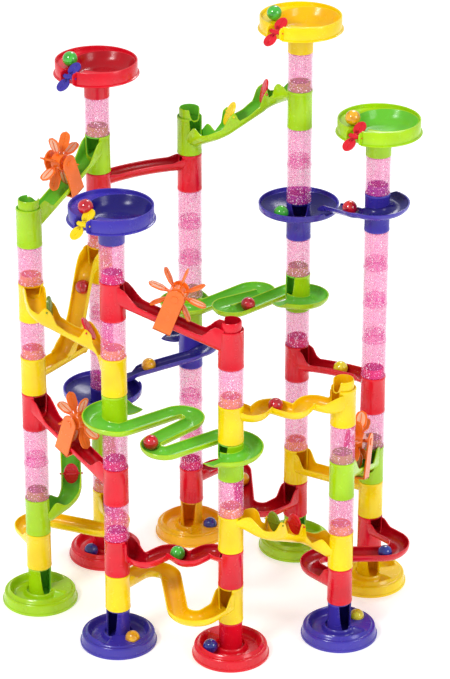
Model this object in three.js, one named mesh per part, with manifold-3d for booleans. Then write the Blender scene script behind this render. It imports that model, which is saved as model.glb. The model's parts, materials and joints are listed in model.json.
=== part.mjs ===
// A marble run: eight towers of plug-together tubes joined by chutes, with funnels, paddle wheels,
// swinging flaps and catching trays. Millimetres, +Z up, floor at z = 0.
import * as THREE from "three";
import { mergeVertices } from "three/addons/utils/BufferGeometryUtils.js";
import Module from "manifold-3d";

const wasm = await Module();
wasm.setup();

// ---------------------------------------------------------------- driving dimensions
const PITCH = 44; // height of one stacked level
const BASE_H = 42.8; // floor to the bottom of the first level
const GAP = 0.3; // air left between pieces that touch
const TUBE_R = 14;
const BORE_R = 12;
const SPIGOT_R = 11.6;
const SPIGOT_BORE_R = 10.2;
const SPIGOT_H = 10;
const SOCKET_H = 11; // depth of the socket under a floor
const SIDES = 8; // facets round a tube

const TROUGH_W = 11.5; // half width outside
const TROUGH_H = 12;
const WALL = 1.8;

const FOOT_R = 42.6;
const FOOT_LIP_R = 39.5;
const SHELF_Z = 14;
const TRAY_Z = 6;
const NECK_R = 13.2;

const FUNNEL_R = 45;
const FUNNEL_LIP_R = 47;
const FUNNEL_NECK_H = 26; // underside of the rim, above the joint
const FUNNEL_TOP = 42;
const FUNNEL_SHELF = 38.5;
const FUNNEL_BED = 22; // floor round the hole
const BOWL_R = 33;
const BOWL_SHIFT = [8.5, 3];
const GATE_TURN = 232;
const GATE_W = 15;
const SPINNER_REACH = 20;
const SPINNER_Z = 35;
const SPINNER_OUT = 45.5; // from the funnel's axis to the spinner's

const WHEEL_R = 33;
const WHEEL_LIFT = 42; // wheel axis above the trough's underside
const AXLE_R = 1.8;
const BLADES = 8;
const BRACKET_IN = 12; // half the space between the two bracket plates
const PLATE = 2;

const FLAP_LIFT = 22.5; // flap pin above the trough's underside
const FLAP_L = 12.5; // half length
const FLAP_W = 7.2; // half width
const FLAP_T = 2.4;

const DISH_R = 45;
const DISH_BOTTOM = 26; // the big dish's floor at its tube, above the tube's bottom
const DISH_RIM = 43;

const WINDOW_W = 18;
const SHOULDER = 4; // a socket ends this far under the top of its tube

// The towers stand on a closed chain with one chute's length between neighbours.
const TOWERS = {
  A: [-189.95, -18.11],
  B: [-97.75, -110.91],
  C: [-119.15, 84.89],
  D: [-19.35, 139.69],
  E: [26.55, -136.81],
  F: [102.55, 104.59],
  G: [185.55, 23.29],
  H: [147.35, -96.21],
};

const COLOURS = {
  red: 0xda1e32,
  yellow: 0xffe100,
  amber: 0xfaa51a,
  green: 0xa5cd14,
  blue: 0x413ca0,
  orange: 0xf5822d,
  olive: 0x8fa03a,
  clear: 0xeb8cbe,
};

// ---------------------------------------------------------------- solids
const rad = THREE.MathUtils.degToRad;
const levelZ = (level) => BASE_H + (level - 1) * PITCH;

// A closed three.js geometry as a solid whose faces point out.
function solid(geometry) {
  const bare = geometry.index ? geometry.toNonIndexed() : geometry.clone();
  for (const name of Object.keys(bare.attributes)) {
    if (name !== "position") bare.deleteAttribute(name);
  }
  const merged = mergeVertices(bare, 1e-4);
  const kept = [];
  const index = merged.index.array;
  for (let i = 0; i < index.length; i += 3) {
    const [a, b, c] = [index[i], index[i + 1], index[i + 2]];
    if (a !== b && b !== c && c !== a) kept.push(a, b, c);
  }
  const build = (triVerts) =>
    new wasm.Manifold(
      new wasm.Mesh({ numProp: 3, vertProperties: merged.attributes.position.array, triVerts }),
    );
  const made = build(new Uint32Array(kept));
  return made.volume() > 0 ? made : build(new Uint32Array(kept.reverse()));
}

function place(geometry, [x, y, z], turn = 0) {
  return geometry.rotateZ(rad(turn)).translate(x, y, z);
}

// A profile of [radius, height] pairs turned round the upright axis; it starts and ends on the axis.
function turned(profile, at, sides = SIDES) {
  const points = profile.map(([r, z]) => new THREE.Vector2(r, z));
  return solid(place(new THREE.LatheGeometry(points, sides).rotateX(Math.PI / 2), at));
}

function cylinder(r, low, high, [x, y], sides = SIDES) {
  return turned([[0, low], [r, low], [r, high], [0, high]], [x, y, 0], sides);
}

function block([w, d, h], at, turn = 0) {
  return solid(place(new THREE.BoxGeometry(w, d, h), at, turn));
}

// Convex cross-sections, each a list of [across, up] pairs, joined along a walk into one solid.
function swept(walk, sectionAt) {
  const rings = walk.map((p, i) =>
    sectionAt(p, i).map(([across, up]) => [
      p.x - Math.sin(p.h) * across,
      p.y + Math.cos(p.h) * across,
      p.z + up,
    ]),
  );
  const n = rings[0].length;
  const faces = [];
  const quad = (a, b, c, d) => faces.push(a, b, c, a, c, d);
  for (let i = 1; i < rings.length; i++) {
    for (let k = 0; k < n; k++) {
      const next = (k + 1) % n;
      quad(rings[i - 1][k], rings[i - 1][next], rings[i][next], rings[i][k]);
    }
  }
  const last = rings[rings.length - 1];
  for (let k = 1; k < n - 1; k++) {
    faces.push(rings[0][0], rings[0][k + 1], rings[0][k]);
    faces.push(last[0], last[k], last[k + 1]);
  }
  const geometry = new THREE.BufferGeometry();
  geometry.setAttribute("position", new THREE.Float32BufferAttribute(faces.flat(), 3));
  return solid(geometry);
}

function union(parts) {
  return parts.reduce((all, part) => all.add(part));
}

// ---------------------------------------------------------------- walks in plan
// A walk starts at a point and heading and takes moves: ["go", length] or ["turn", radius, degrees].
function walkFrom([x, y], headingDegrees, moves, goStep = 60, turnStep = 30) {
  let h = rad(headingDegrees);
  const points = [{ x, y, h }];
  for (const [kind, size, degrees] of moves) {
    if (kind === "go") {
      const steps = Math.max(1, Math.ceil(size / goStep));
      for (let i = 1; i <= steps; i++) {
        points.push({
          x: x + (Math.cos(h) * size * i) / steps,
          y: y + (Math.sin(h) * size * i) / steps,
          h,
        });
      }
    } else {
      const side = Math.sign(degrees);
      const centre = [x - side * size * Math.sin(h), y + side * size * Math.cos(h)];
      const steps = Math.ceil(Math.abs(degrees) / turnStep);
      for (let i = 1; i <= steps; i++) {
        const now = h + rad((degrees * i) / steps);
        points.push({
          x: centre[0] + side * size * Math.sin(now),
          y: centre[1] - side * size * Math.cos(now),
          h: now,
        });
      }
    }
    ({ x, y, h } = points[points.length - 1]);
  }
  return points;
}

function bearing([ax, ay], [bx, by]) {
  return THREE.MathUtils.radToDeg(Math.atan2(by - ay, bx - ax));
}

function distance([ax, ay], [bx, by]) {
  return Math.hypot(bx - ax, by - ay);
}

// Gives each point of a walk its distance along it and a height that falls evenly from start to end.
function withHeights(points, startZ, endZ) {
  let along = 0;
  points.forEach((p, i) => {
    if (i) along += Math.hypot(p.x - points[i - 1].x, p.y - points[i - 1].y);
    p.along = along;
  });
  points.forEach((p) => {
    p.t = p.along / along;
    p.z = startZ + (endZ - startZ) * p.t;
  });
  return points;
}

function straightWalk(from, to, stops = []) {
  const h = rad(bearing(from, to));
  return [0, ...stops, 1].map((t) => ({
    x: from[0] + (to[0] - from[0]) * t,
    y: from[1] + (to[1] - from[1]) * t,
    h,
  }));
}

// A shallow arc from tower to tower; a positive bow stands off to the left of the straight line.
function bowedWalk(from, to, bow) {
  const side = Math.sign(bow);
  const half = distance(from, to) / 2;
  const r = (half * half + bow * bow) / (2 * Math.abs(bow));
  const angle = THREE.MathUtils.radToDeg(2 * Math.asin(half / r));
  const start = bearing(from, to) + (side * angle) / 2;
  return walkFrom(from, start, [["turn", r, -side * angle]], 60, angle / 3);
}

// A long S: out of one tower, round a tight bend, across the middle and round the other way.
// A positive bend turns clockwise first.
function curvedWalk(from, to, { out, r, degrees, side = 1 }) {
  const angle = rad(degrees);
  const half = distance(from, to) / 2;
  const a = out + r * Math.sin(angle);
  const b = r * (1 - Math.cos(angle));
  const p = a * Math.cos(angle) + b * Math.sin(angle);
  const middle = -p + Math.sqrt(p * p - (a * a + b * b - half * half));
  const lean = Math.atan2(b + middle * Math.sin(angle), a + middle * Math.cos(angle));
  const start = bearing(from, to) + side * THREE.MathUtils.radToDeg(lean);
  return walkFrom(from, start, [
    ["go", out],
    ["turn", r, -side * degrees],
    ["go", 2 * middle],
    ["turn", r, side * degrees],
    ["go", out],
  ], 50, 45);
}
const HOOK = { out: 38, r: 19.5, degrees: 135 };
const SNAKE = { out: 28.7, r: 20, degrees: 67.75, side: -1 };

// Round the first tower, through two hairpins and round the second tower. The second half is the
// first half turned about the middle of the chute.
const RING_WALK_R = 24;
const HAIRPIN = { go: 4, bend: 54, bendR: 16, out: 25 };
function hairpinWalk(from, to) {
  const { go, bend, bendR, out } = HAIRPIN;
  const facing = bearing(from, to);
  const half = distance(from, to) / 2;
  const turn = rad(bend);
  const dx = half - go - bendR * Math.sin(turn);
  const dy = RING_WALK_R - bendR * (1 - Math.cos(turn));
  const straight = dx * Math.cos(turn) + dy * Math.sin(turn) + out;
  const r = (dx * Math.sin(turn) - dy * Math.cos(turn)) / 2;
  const start = [
    from[0] + RING_WALK_R * Math.cos(rad(facing + 45)),
    from[1] + RING_WALK_R * Math.sin(rad(facing + 45)),
  ];
  const first = walkFrom(start, facing + 135, [
    ["turn", RING_WALK_R, 225],
    ["go", go],
    ["turn", bendR, bend],
    ["go", straight],
    ["turn", r, -180],
    ["go", out],
  ], 80, 57);
  const second = first
    .slice(0, -1)
    .reverse()
    .map((p) => ({ x: from[0] + to[0] - p.x, y: from[1] + to[1] - p.y, h: p.h }));
  return [...first, ...second];
}

// ---------------------------------------------------------------- chutes
const BED = 0.55; // width of a trough's flat bed over its full width
const ABOVE = 20;
const inner = TROUGH_W - WALL;

function troughSection(height) {
  return [
    [-TROUGH_W, height],
    [-BED * TROUGH_W, 0],
    [BED * TROUGH_W, 0],
    [TROUGH_W, height],
  ];
}

// The space inside a trough, carried on well above its rim.
function troughHollow(height, floor = WALL) {
  return [
    [-inner, height + ABOVE],
    [-inner, height],
    [-BED * inner, floor],
    [BED * inner, floor],
    [inner, height],
    [inner, height + ABOVE],
  ];
}

function towerTube({ tower, level, count = 1 }) {
  const at = TOWERS[tower];
  const high = levelZ(level + count);
  const tube = cylinder(TUBE_R, levelZ(level) + GAP, high, at);
  return tube.add(cylinder(SPIGOT_R, high - 1, high + SPIGOT_H, at));
}

// The bore of a tube. With a floor a marble can't drop through, so it leaves by the window.
function tubeBore({ tower, level, count = 1, floor }) {
  const at = TOWERS[tower];
  const low = levelZ(level);
  const high = levelZ(level + count);
  const stopped = floor !== undefined;
  const socket = cylinder(BORE_R, low - 1, stopped ? low + SOCKET_H : high - SHOULDER, at);
  const upper = cylinder(SPIGOT_BORE_R, stopped ? floor : high - 5, high + SPIGOT_H + 1, at);
  const bore = socket.add(upper);
  return stopped && count > 1
    ? bore.add(cylinder(BORE_R, levelZ(level + 1), high - SHOULDER, at))
    : bore;
}

function tubeWindow({ tower, level, facing, sill, open = false }, reach = TUBE_R + 2) {
  const [x, y] = TOWERS[tower];
  const top = open ? levelZ(level + 1) + SPIGOT_H + 1 : levelZ(level + 1);
  const h = rad(facing);
  return block(
    [reach, WINDOW_W, top - sill],
    [x + (Math.cos(h) * reach) / 2, y + (Math.sin(h) * reach) / 2, (top + sill) / 2],
    facing,
  );
}

const degreesOf = THREE.MathUtils.radToDeg;

// A chute is two tubes and the trough between them. The upper tube has a floor, level with the
// trough's bed, and the lower one is open all the way down.
function chute(upper, lower, walk, { section, hollow, extra = [], cuts = [], reach } = {}) {
  const first = walk[0];
  const last = walk[walk.length - 1];
  const from = {
    facing: degreesOf(first.h),
    sill: first.z + WALL,
    floor: first.z + WALL,
    ...upper,
  };
  const to = { facing: degreesOf(last.h) + 180, sill: last.z + WALL, ...lower };
  const outer = swept(walk, section);
  const shell = union([outer, ...extra]).subtract(swept(walk, hollow));
  const open = cuts.reduce((all, cut) => all.subtract(cut), shell);
  return open
    .add(towerTube(from))
    .add(towerTube(to))
    .subtract(tubeWindow(from, reach))
    .subtract(tubeWindow(to, reach))
    .subtract(tubeBore(from))
    .subtract(tubeBore(to));
}

// Rests the walk on the two towers: heights are above the bottom of each end's own tube.
function resting(walk, upper, lower, highEnd, lowEnd) {
  return withHeights(walk, levelZ(upper.level) + highEnd, levelZ(lower.level) + lowEnd);
}

function plainChute(upper, lower, walk, highEnd, lowEnd) {
  return chute(upper, lower, resting(walk, upper, lower, highEnd, lowEnd), {
    section: () => troughSection(TROUGH_H),
    hollow: () => troughHollow(TROUGH_H),
  });
}

// Walls that rise to the top of the tube where they meet it.
const CHEEK_STOPS = [17, 28];
const STEEP_ENDS = [19, 14];
function cheekedChute(upper, lower, [highEnd, lowEnd] = STEEP_ENDS) {
  const [from, to] = [TOWERS[upper.tower], TOWERS[lower.tower]];
  const length = distance(from, to);
  const stops = CHEEK_STOPS.map((s) => s / length);
  const walk = straightWalk(from, to, [...stops, ...stops.map((t) => 1 - t).reverse()]);
  resting(walk, upper, lower, highEnd, lowEnd);
  const full = [PITCH - highEnd, PITCH - lowEnd];
  const heightAt = (p, i) => {
    const end = i < walk.length / 2 ? 0 : 1;
    const step = end ? walk.length - 1 - i : i;
    const share = [1, 0.8, 0][step];
    return TROUGH_H + (full[end] - TROUGH_H) * share;
  };
  return chute(upper, lower, walk, {
    section: (p, i) => troughSection(heightAt(p, i)),
    hollow: (p, i) => troughHollow(heightAt(p, i)),
  });
}

// ---------------------------------------------------------------- flap chutes
const SNAKE_ENDS = [35.7, 4.2]; // bed at the two tower axes, if it ran on evenly
const FLAP_PLACES = [0.34, 0.62];
const PIN_R = 1;
const PIN_HALF = 13.2;
const EAR_W = 11;
const EAR_H = 26.5;
const SNAKE_RIM = 14;

function pointAt(walk, t) {
  const i = Math.max(1, walk.findIndex((p) => p.t >= t));
  const [a, b] = [walk[i - 1], walk[i]];
  const share = (t - a.t) / (b.t - a.t);
  return {
    x: a.x + (b.x - a.x) * share,
    y: a.y + (b.y - a.y) * share,
    z: a.z + (b.z - a.z) * share,
    h: a.h + (b.h - a.h) * share,
  };
}

function snakeWalk(upper, lower) {
  const walk = curvedWalk(TOWERS[upper.tower], TOWERS[lower.tower], SNAKE);
  resting(walk, upper, lower, ...SNAKE_ENDS);
  const nearHigh = pointAt(walk, 0.1).z;
  const nearLow = pointAt(walk, 0.9).z;
  for (const p of walk) p.z = Math.min(nearHigh, Math.max(nearLow, p.z));
  return walk;
}

function across({ x, y, h }, side, z) {
  return [x - Math.sin(h) * side, y + Math.cos(h) * side, z];
}

// The walls rise into two pairs of ears, and each pair has a hole for a flap's pin.
function snakeChute(upper, lower) {
  const walk = snakeWalk(upper, lower);
  const stations = walk.map((p) => ({ ...p, height: SNAKE_RIM }));
  const holes = [];
  const length = walk[walk.length - 1].along;
  for (const t of FLAP_PLACES) {
    const half = EAR_W / 2 / length;
    for (const [offset, height] of [[-2.2, SNAKE_RIM], [-0.7, EAR_H], [0.7, EAR_H], [2.2, SNAKE_RIM]]) {
      const at = t + offset * half;
      stations.push({ ...pointAt(walk, at), t: at, height });
    }
    const p = pointAt(walk, t);
    const hole = 2 * (PIN_R + 0.4);
    const centre = [p.x, p.y, p.z + FLAP_LIFT];
    holes.push(block([hole, 2 * PIN_HALF, hole], centre, degreesOf(p.h)));
  }
  stations.sort((a, b) => a.t - b.t);
  return chute(upper, lower, stations, {
    section: (p) => troughSection(p.height),
    hollow: (p) => troughHollow(p.height),
    cuts: holes,
  });
}

function ovalPlate(halfLong, halfWide, thick, steps = 8) {
  const shape = new THREE.Shape();
  for (let i = 0; i < steps; i++) {
    const a = (2 * Math.PI * i) / steps;
    const point = [halfLong * Math.cos(a), halfWide * Math.sin(a)];
    if (i) shape.lineTo(...point);
    else shape.moveTo(...point);
  }
  const options = { depth: thick, bevelEnabled: false, steps: 1 };
  return new THREE.ExtrudeGeometry(shape, options).translate(0, 0, -thick / 2);
}

function flapSolid() {
  const pin = new THREE.CylinderGeometry(PIN_R, PIN_R, 2 * PIN_HALF, 6);
  return solid(ovalPlate(FLAP_L, FLAP_W, FLAP_T)).add(solid(pin));
}

// ---------------------------------------------------------------- paddle wheels
const WHEEL_PLACE = 0.55;
const HUB_R = 9;
const BLADE_W = 12;
const BLADE_T = 1.6;
const STEM_W = 4;

function wheelFrame(upper, lower) {
  const [from, to] = [TOWERS[upper.tower], TOWERS[lower.tower]];
  const walk = straightWalk(from, to);
  resting(walk, upper, lower, ...STEEP_ENDS);
  const p = pointAt(walk, WHEEL_PLACE);
  const drop = Math.atan2(walk[0].z - walk[1].z, distance(from, to));
  return { at: [p.x, p.y, p.z + WHEEL_LIFT], turn: p.h, drop };
}

// Turned about the Y axis; each blade is an oval on a stem that starts inside the hub.
function wheelSolid() {
  const parts = [solid(new THREE.CylinderGeometry(HUB_R, HUB_R, BLADE_W, SIDES))];
  const half = BLADE_W / 2;
  const outline = [[4, STEM_W / 2], [WHEEL_R - 12, half], [WHEEL_R, half - 3]];
  const shape = new THREE.Shape();
  shape.moveTo(4, -STEM_W / 2);
  for (const point of outline.slice(1)) shape.lineTo(point[0], -point[1]);
  for (const point of [...outline].reverse()) shape.lineTo(...point);
  const options = { depth: BLADE_T, bevelEnabled: false, steps: 1 };
  for (let i = 0; i < BLADES; i++) {
    const blade = new THREE.ExtrudeGeometry(shape, options).translate(0, 0, -BLADE_T / 2);
    parts.push(solid(blade.rotateY((2 * Math.PI * i) / BLADES)));
  }
  const bore = new THREE.CylinderGeometry(AXLE_R + 0.5, AXLE_R + 0.5, BLADE_W + 2, SIDES);
  return union(parts).subtract(solid(bore));
}

const PLATE_HALF = 10;
const STRAP_GAP = 0.6;

function bracketSolid(drop) {
  const under = WHEEL_LIFT * Math.cos(drop) + STRAP_GAP + PLATE;
  const shape = new THREE.Shape();
  shape.moveTo(-PLATE_HALF, -under);
  shape.lineTo(PLATE_HALF, -under);
  shape.lineTo(PLATE_HALF, 0);
  for (let i = 1; i <= 4; i++) {
    const a = (Math.PI * i) / 4;
    shape.lineTo(PLATE_HALF * Math.cos(a), PLATE_HALF * Math.sin(a));
  }
  const options = { depth: PLATE, bevelEnabled: false, steps: 1 };
  const parts = [];
  for (const side of [-1, 1]) {
    const plate = new THREE.ExtrudeGeometry(shape, options).rotateX(Math.PI / 2);
    parts.push(solid(plate.translate(0, side * (BRACKET_IN + PLATE / 2) + PLATE / 2, 0)));
  }
  const width = 2 * (BRACKET_IN + PLATE);
  parts.push(block([2 * PLATE_HALF, width, PLATE], [0, 0, -under + PLATE / 2]));
  parts.push(solid(new THREE.CylinderGeometry(AXLE_R, AXLE_R, width, SIDES)));
  return union(parts);
}

// ---------------------------------------------------------------- dishes, hairpins and the rest
const TWIN = { walkR: 24, bend: 25, bendR: 20, neck: 75, start: 26, settle: 5 };
const TWIN_WINDOW = 139.4; // big dish's window, from the bearing of the chute

function twinDish(upper, lower) {
  const [from, to] = [TOWERS[upper.tower], TOWERS[lower.tower]];
  const facing = bearing(from, to);
  const begin = rad(facing - 45);
  const start = [from[0] + TWIN.walkR * Math.cos(begin), from[1] + TWIN.walkR * Math.sin(begin)];
  const walk = walkFrom(start, facing - 135, [
    ["turn", TWIN.walkR, -225],
    ["go", 6],
    ["turn", TWIN.bendR, -TWIN.bend],
    ["go", TWIN.neck],
  ], 80, 57);
  const high = levelZ(upper.level) + TWIN.start;
  const low = levelZ(lower.level) + 36;
  withHeights(walk, high, low);
  const curl = (rad(225) * TWIN.walkR) / walk[walk.length - 1].along;
  for (const p of walk) {
    p.z = p.t < curl
      ? high - (TWIN.settle * p.t) / curl
      : high - TWIN.settle + (low - high + TWIN.settle) * ((p.t - curl) / (1 - curl));
  }
  const [x, y] = to;
  const floor = levelZ(lower.level);
  const dish = turned([
    [0, DISH_BOTTOM], [TUBE_R, DISH_BOTTOM], [DISH_R, 36], [DISH_R, DISH_RIM], [0, DISH_RIM],
  ], [x, y, floor], 18);
  const bowl = turned([
    [0, DISH_BOTTOM + WALL], [TUBE_R, DISH_BOTTOM + WALL], [DISH_R - WALL, 36 + WALL],
    [DISH_R - WALL, 60], [0, 60],
  ], [x, y, floor], 18);
  const { h } = walk[0];
  walk[0].x -= 2 * Math.cos(h);
  walk[0].y -= 2 * Math.sin(h);
  const hollowWalk = walk.map((p, i) => (i ? p : { ...p, x: start[0], y: start[1] }));
  const shell = swept(walk, () => troughSection(9)).add(dish)
    .subtract(swept(hollowWalk, () => troughHollow(9)))
    .subtract(bowl);
  const sill = high + WALL;
  const ends = [
    { ...upper, facing: facing - 45, sill, floor: sill },
    { ...lower, facing: facing + TWIN_WINDOW, sill: floor + DISH_BOTTOM + WALL },
  ];
  return finishEnds(shell, ends, TWIN.walkR);
}

function finishEnds(shell, ends, reach) {
  const tubes = ends.reduce((all, end) => all.add(towerTube(end)), shell);
  return ends.reduce(
    (all, end) => all.subtract(tubeWindow(end, reach)).subtract(tubeBore(end)),
    tubes,
  );
}

const HAIRPIN_ENDS = [12, 24.5];
function hairpinChute(upper, lower) {
  const [from, to] = [TOWERS[upper.tower], TOWERS[lower.tower]];
  const facing = bearing(from, to);
  const walk = hairpinWalk(from, to);
  resting(walk, upper, lower, ...HAIRPIN_ENDS);
  const outer = walk.map((p) => ({ ...p }));
  const stretch = (p, way) => {
    p.x += way * 2 * Math.cos(p.h);
    p.y += way * 2 * Math.sin(p.h);
  };
  stretch(outer[0], -1);
  stretch(outer[outer.length - 1], 1);
  const shell = swept(outer, () => troughSection(10)).subtract(swept(walk, () => troughHollow(10)));
  const sill = levelZ(upper.level) + HAIRPIN_ENDS[0] + WALL;
  return finishEnds(shell, [
    { ...upper, facing: facing + 45, sill, floor: sill },
    { ...lower, facing: facing + 225, sill: levelZ(lower.level) + HAIRPIN_ENDS[1] + WALL },
  ], RING_WALK_R);
}

// A steep slide from the top of one tube down into a level catching tray on the other.
// Each station: distance out from the upper tower, underside above the upper tube's bottom, wall height.
const SLIDE = [[8, 20, 24], [16, 20, 24], [62, -68, 22], [78, -74, 14]];
const TRAY_BED = 14;
const TRAY_LENGTH = 85;
function steepChute(upper, lower) {
  const [from, to] = [TOWERS[upper.tower], TOWERS[lower.tower]];
  const facing = bearing(from, to);
  const h = rad(facing);
  const base = levelZ(lower.level);
  const along = (s) => ({ x: from[0] + Math.cos(h) * s, y: from[1] + Math.sin(h) * s, h });
  const top = levelZ(upper.level);
  const slide = SLIDE.map(([s, z, height]) => ({ ...along(s), z: top + z, height }));
  const far = along(distance(from, to) - TRAY_LENGTH);
  const tray = [far, { x: to[0], y: to[1], h }].map((p) => ({ ...p, z: base + TRAY_BED }));
  const trayLow = base + TRAY_BED;
  const hollowEnd = tray.map((p) => ({ ...p }));
  hollowEnd[0].x += Math.cos(h) * WALL;
  hollowEnd[0].y += Math.sin(h) * WALL;
  const shell = swept(slide, (p) => troughSection(p.height))
    .add(swept(tray, () => troughSection(TROUGH_H)))
    .subtract(swept(slide, (p) => troughHollow(p.height, 2 * WALL)))
    .subtract(swept(hollowEnd, () => troughHollow(TROUGH_H)));
  const sill = top + SLIDE[0][1] + 2 * WALL;
  return finishEnds(shell, [
    { ...upper, facing, sill, floor: sill },
    { ...lower, facing: facing + 180, sill: trayLow + WALL },
  ], TUBE_R + 2);
}

// A straight trough that sways from side to side.
const SWAY = 5;
function wavyWalk(from, to, waves) {
  const steps = 7;
  const facing = rad(bearing(from, to));
  const walk = straightWalk(from, to, Array.from({ length: steps - 1 }, (_, i) => (i + 1) / steps));
  const sway = (t) => SWAY * Math.sin(2 * Math.PI * waves * t) * Math.sin(Math.PI * t);
  const length = distance(from, to);
  return walk.map((p, i) => {
    const t = i / steps;
    const slope = (sway(t + 0.01) - sway(t - 0.01)) / (0.02 * length);
    const [x, y] = across(p, sway(t), 0);
    return { x, y, h: facing + Math.atan(slope) };
  });
}

// ---------------------------------------------------------------- funnels and their spinners
const GATE = rad(GATE_TURN);
const SPINNER_TILT = 34; // inner paddle up
const EAR_T = 2;

function funnelSolid({ tower, level }) {
  const [x, y] = TOWERS[tower];
  const z = levelZ(level + 1);
  const at = [x, y, z];
  const outer = turned([
    [0, GAP], [TUBE_R, GAP], [TUBE_R, FUNNEL_BED - 7], [FUNNEL_LIP_R, FUNNEL_NECK_H],
    [FUNNEL_R, FUNNEL_NECK_H + 3], [FUNNEL_R, FUNNEL_TOP], [0, FUNNEL_TOP],
  ], at, 16);
  const shelf = cylinder(FUNNEL_R - WALL, z + FUNNEL_SHELF, z + FUNNEL_TOP + 1, [x, y], 16);
  const bowlAt = [x + BOWL_SHIFT[0], y + BOWL_SHIFT[1], z];
  const edge = FUNNEL_SHELF - 0.5;
  const bowlProfile = [
    [0, FUNNEL_BED], [8, FUNNEL_BED], [BOWL_R, edge], [BOWL_R, edge + 2], [0, edge + 2],
  ];
  const bowl = turned(bowlProfile, bowlAt, 12);
  const along = ([r, side, h]) => [
    x + Math.cos(GATE) * r - Math.sin(GATE) * side,
    y + Math.sin(GATE) * r + Math.cos(GATE) * side,
    z + h,
  ];
  const slot = block([30, GATE_W, 40], along([SPINNER_OUT - SPINNER_REACH + 14, 0, SPINNER_Z - 1]), GATE_TURN);
  const earSide = (GATE_W + EAR_T) / 2;
  const ears = [-1, 1].map((side) =>
    block([8, EAR_T, 14], along([SPINNER_OUT, side * earSide, SPINNER_Z - 1]), GATE_TURN));
  const hole = solid(place(
    new THREE.BoxGeometry(2 * PIN_R + 0.8, GATE_W + 12, 2 * PIN_R + 0.8),
    along([SPINNER_OUT, 0, SPINNER_Z]),
    GATE_TURN,
  ));
  return union([outer, ...ears])
    .subtract(shelf)
    .subtract(bowl)
    .subtract(slot)
    .subtract(hole)
    .subtract(cylinder(BORE_R, z - 1, z + SOCKET_H, [x, y]))
    .subtract(cylinder(SPIGOT_BORE_R, z + SOCKET_H - 1, z + FUNNEL_BED + 10, [x, y]));
}

function spinnerSolid() {
  const long = (SPINNER_REACH - 3) / 2;
  const plates = [-1, 1].map((side) =>
    solid(ovalPlate(long, BLADE_W / 2, 2).translate(side * (SPINNER_REACH - long), 0, 0)));
  const bridge = solid(new THREE.BoxGeometry(16, 5, 2));
  const hub = solid(new THREE.CylinderGeometry(2.5, 2.5, BLADE_W, 6));
  const pin = solid(new THREE.CylinderGeometry(PIN_R, PIN_R, GATE_W + 2 * EAR_T + 1, 6));
  return union([...plates, bridge, hub, pin]);
}

// ---------------------------------------------------------------- bases
const BASE_SPIRAL = { r: 24.5, turn: -255, top: 16 };
function baseSolid({ tower, facing }) {
  const at = TOWERS[tower];
  const body = turned([
    [0, 0], [FOOT_R, 0], [FOOT_R, 2.5], [FOOT_LIP_R + 1, 11], [FOOT_LIP_R, SHELF_Z], [0, SHELF_Z],
  ], [...at, 0], 16);
  const { r, turn, top } = BASE_SPIRAL;
  const start = [at[0] + r * Math.cos(rad(facing)), at[1] + r * Math.sin(rad(facing))];
  const walk = walkFrom(start, facing - 90, [["turn", r, turn]], 60, 45);
  for (const p of walk) p.z = 0;
  const hollow = swept(walk, () => [[-10.2, top], [-7, TRAY_Z], [7, TRAY_Z], [10.2, top]]);
  const neck = cylinder(NECK_R, 4, BASE_H, at).add(cylinder(SPIGOT_R, 4, BASE_H + SPIGOT_H, at));
  const h = rad(facing);
  const door = block(
    [r, WINDOW_W, 30],
    [at[0] + (Math.cos(h) * r) / 2, at[1] + (Math.sin(h) * r) / 2, TRAY_Z + 2 + 15],
    facing,
  );
  return body
    .subtract(hollow)
    .add(neck)
    .subtract(door)
    .subtract(cylinder(SPIGOT_BORE_R, TRAY_Z + 2, BASE_H + SPIGOT_H + 1, at))
    .subtract(cylinder(FOOT_R - 4, -1, 3, at, 12));
}

// ---------------------------------------------------------------- the assembly
const run = new THREE.Group();

function mesh(name, shape, colour, roughness = 0.3) {
  const { vertProperties, triVerts } = shape.getMesh();
  const geometry = new THREE.BufferGeometry();
  geometry.setAttribute("position", new THREE.BufferAttribute(vertProperties, 3));
  geometry.setIndex(new THREE.BufferAttribute(triVerts, 1));
  const material = new THREE.MeshStandardMaterial({ color: COLOURS[colour], roughness });
  const piece = new THREE.Mesh(geometry, material);
  piece.name = name;
  run.add(piece);
  return piece;
}

// Sets a piece that was made about the origin in its place: turned in plan, then nose down.
function set(piece, { at, turn, drop = 0 }) {
  piece.position.set(...at);
  piece.rotation.set(0, drop, turn, "ZYX");
}

const end = (tower, level, more = {}) => ({ tower, level, ...more });
const lowerCase = (upper, lower) => `${upper.tower}${lower.tower}`.toLowerCase();

const BASES = [
  ["A", -40, "green"], ["B", -135, "blue"], ["C", -60, "red"], ["D", -110, "amber"],
  ["E", 60, "red"], ["F", -60, "green"], ["G", -60, "yellow"], ["H", -50, "blue"],
];
for (const [tower, facing, colour] of BASES) {
  mesh(`base_${tower.toLowerCase()}`, baseSolid({ tower, facing }), colour);
}

const FUNNELS = [["B", 10, "blue"], ["C", 12, "red"], ["F", 13, "yellow"], ["G", 11, "green"]];
const SPINNER_COLOURS = { B: "yellow", C: "blue", F: "red", G: "red" };
for (const [tower, level, colour] of FUNNELS) {
  const name = tower.toLowerCase();
  mesh(`funnel_${name}`, funnelSolid({ tower, level }), colour);
  const [x, y] = TOWERS[tower];
  const at = [
    x + Math.cos(GATE) * SPINNER_OUT,
    y + Math.sin(GATE) * SPINNER_OUT,
    levelZ(level + 1) + SPINNER_Z,
  ];
  const spinner = mesh(`spinner_${name}`, spinnerSolid(), SPINNER_COLOURS[tower]);
  set(spinner, { at, turn: GATE, drop: rad(SPINNER_TILT) });
}

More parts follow.
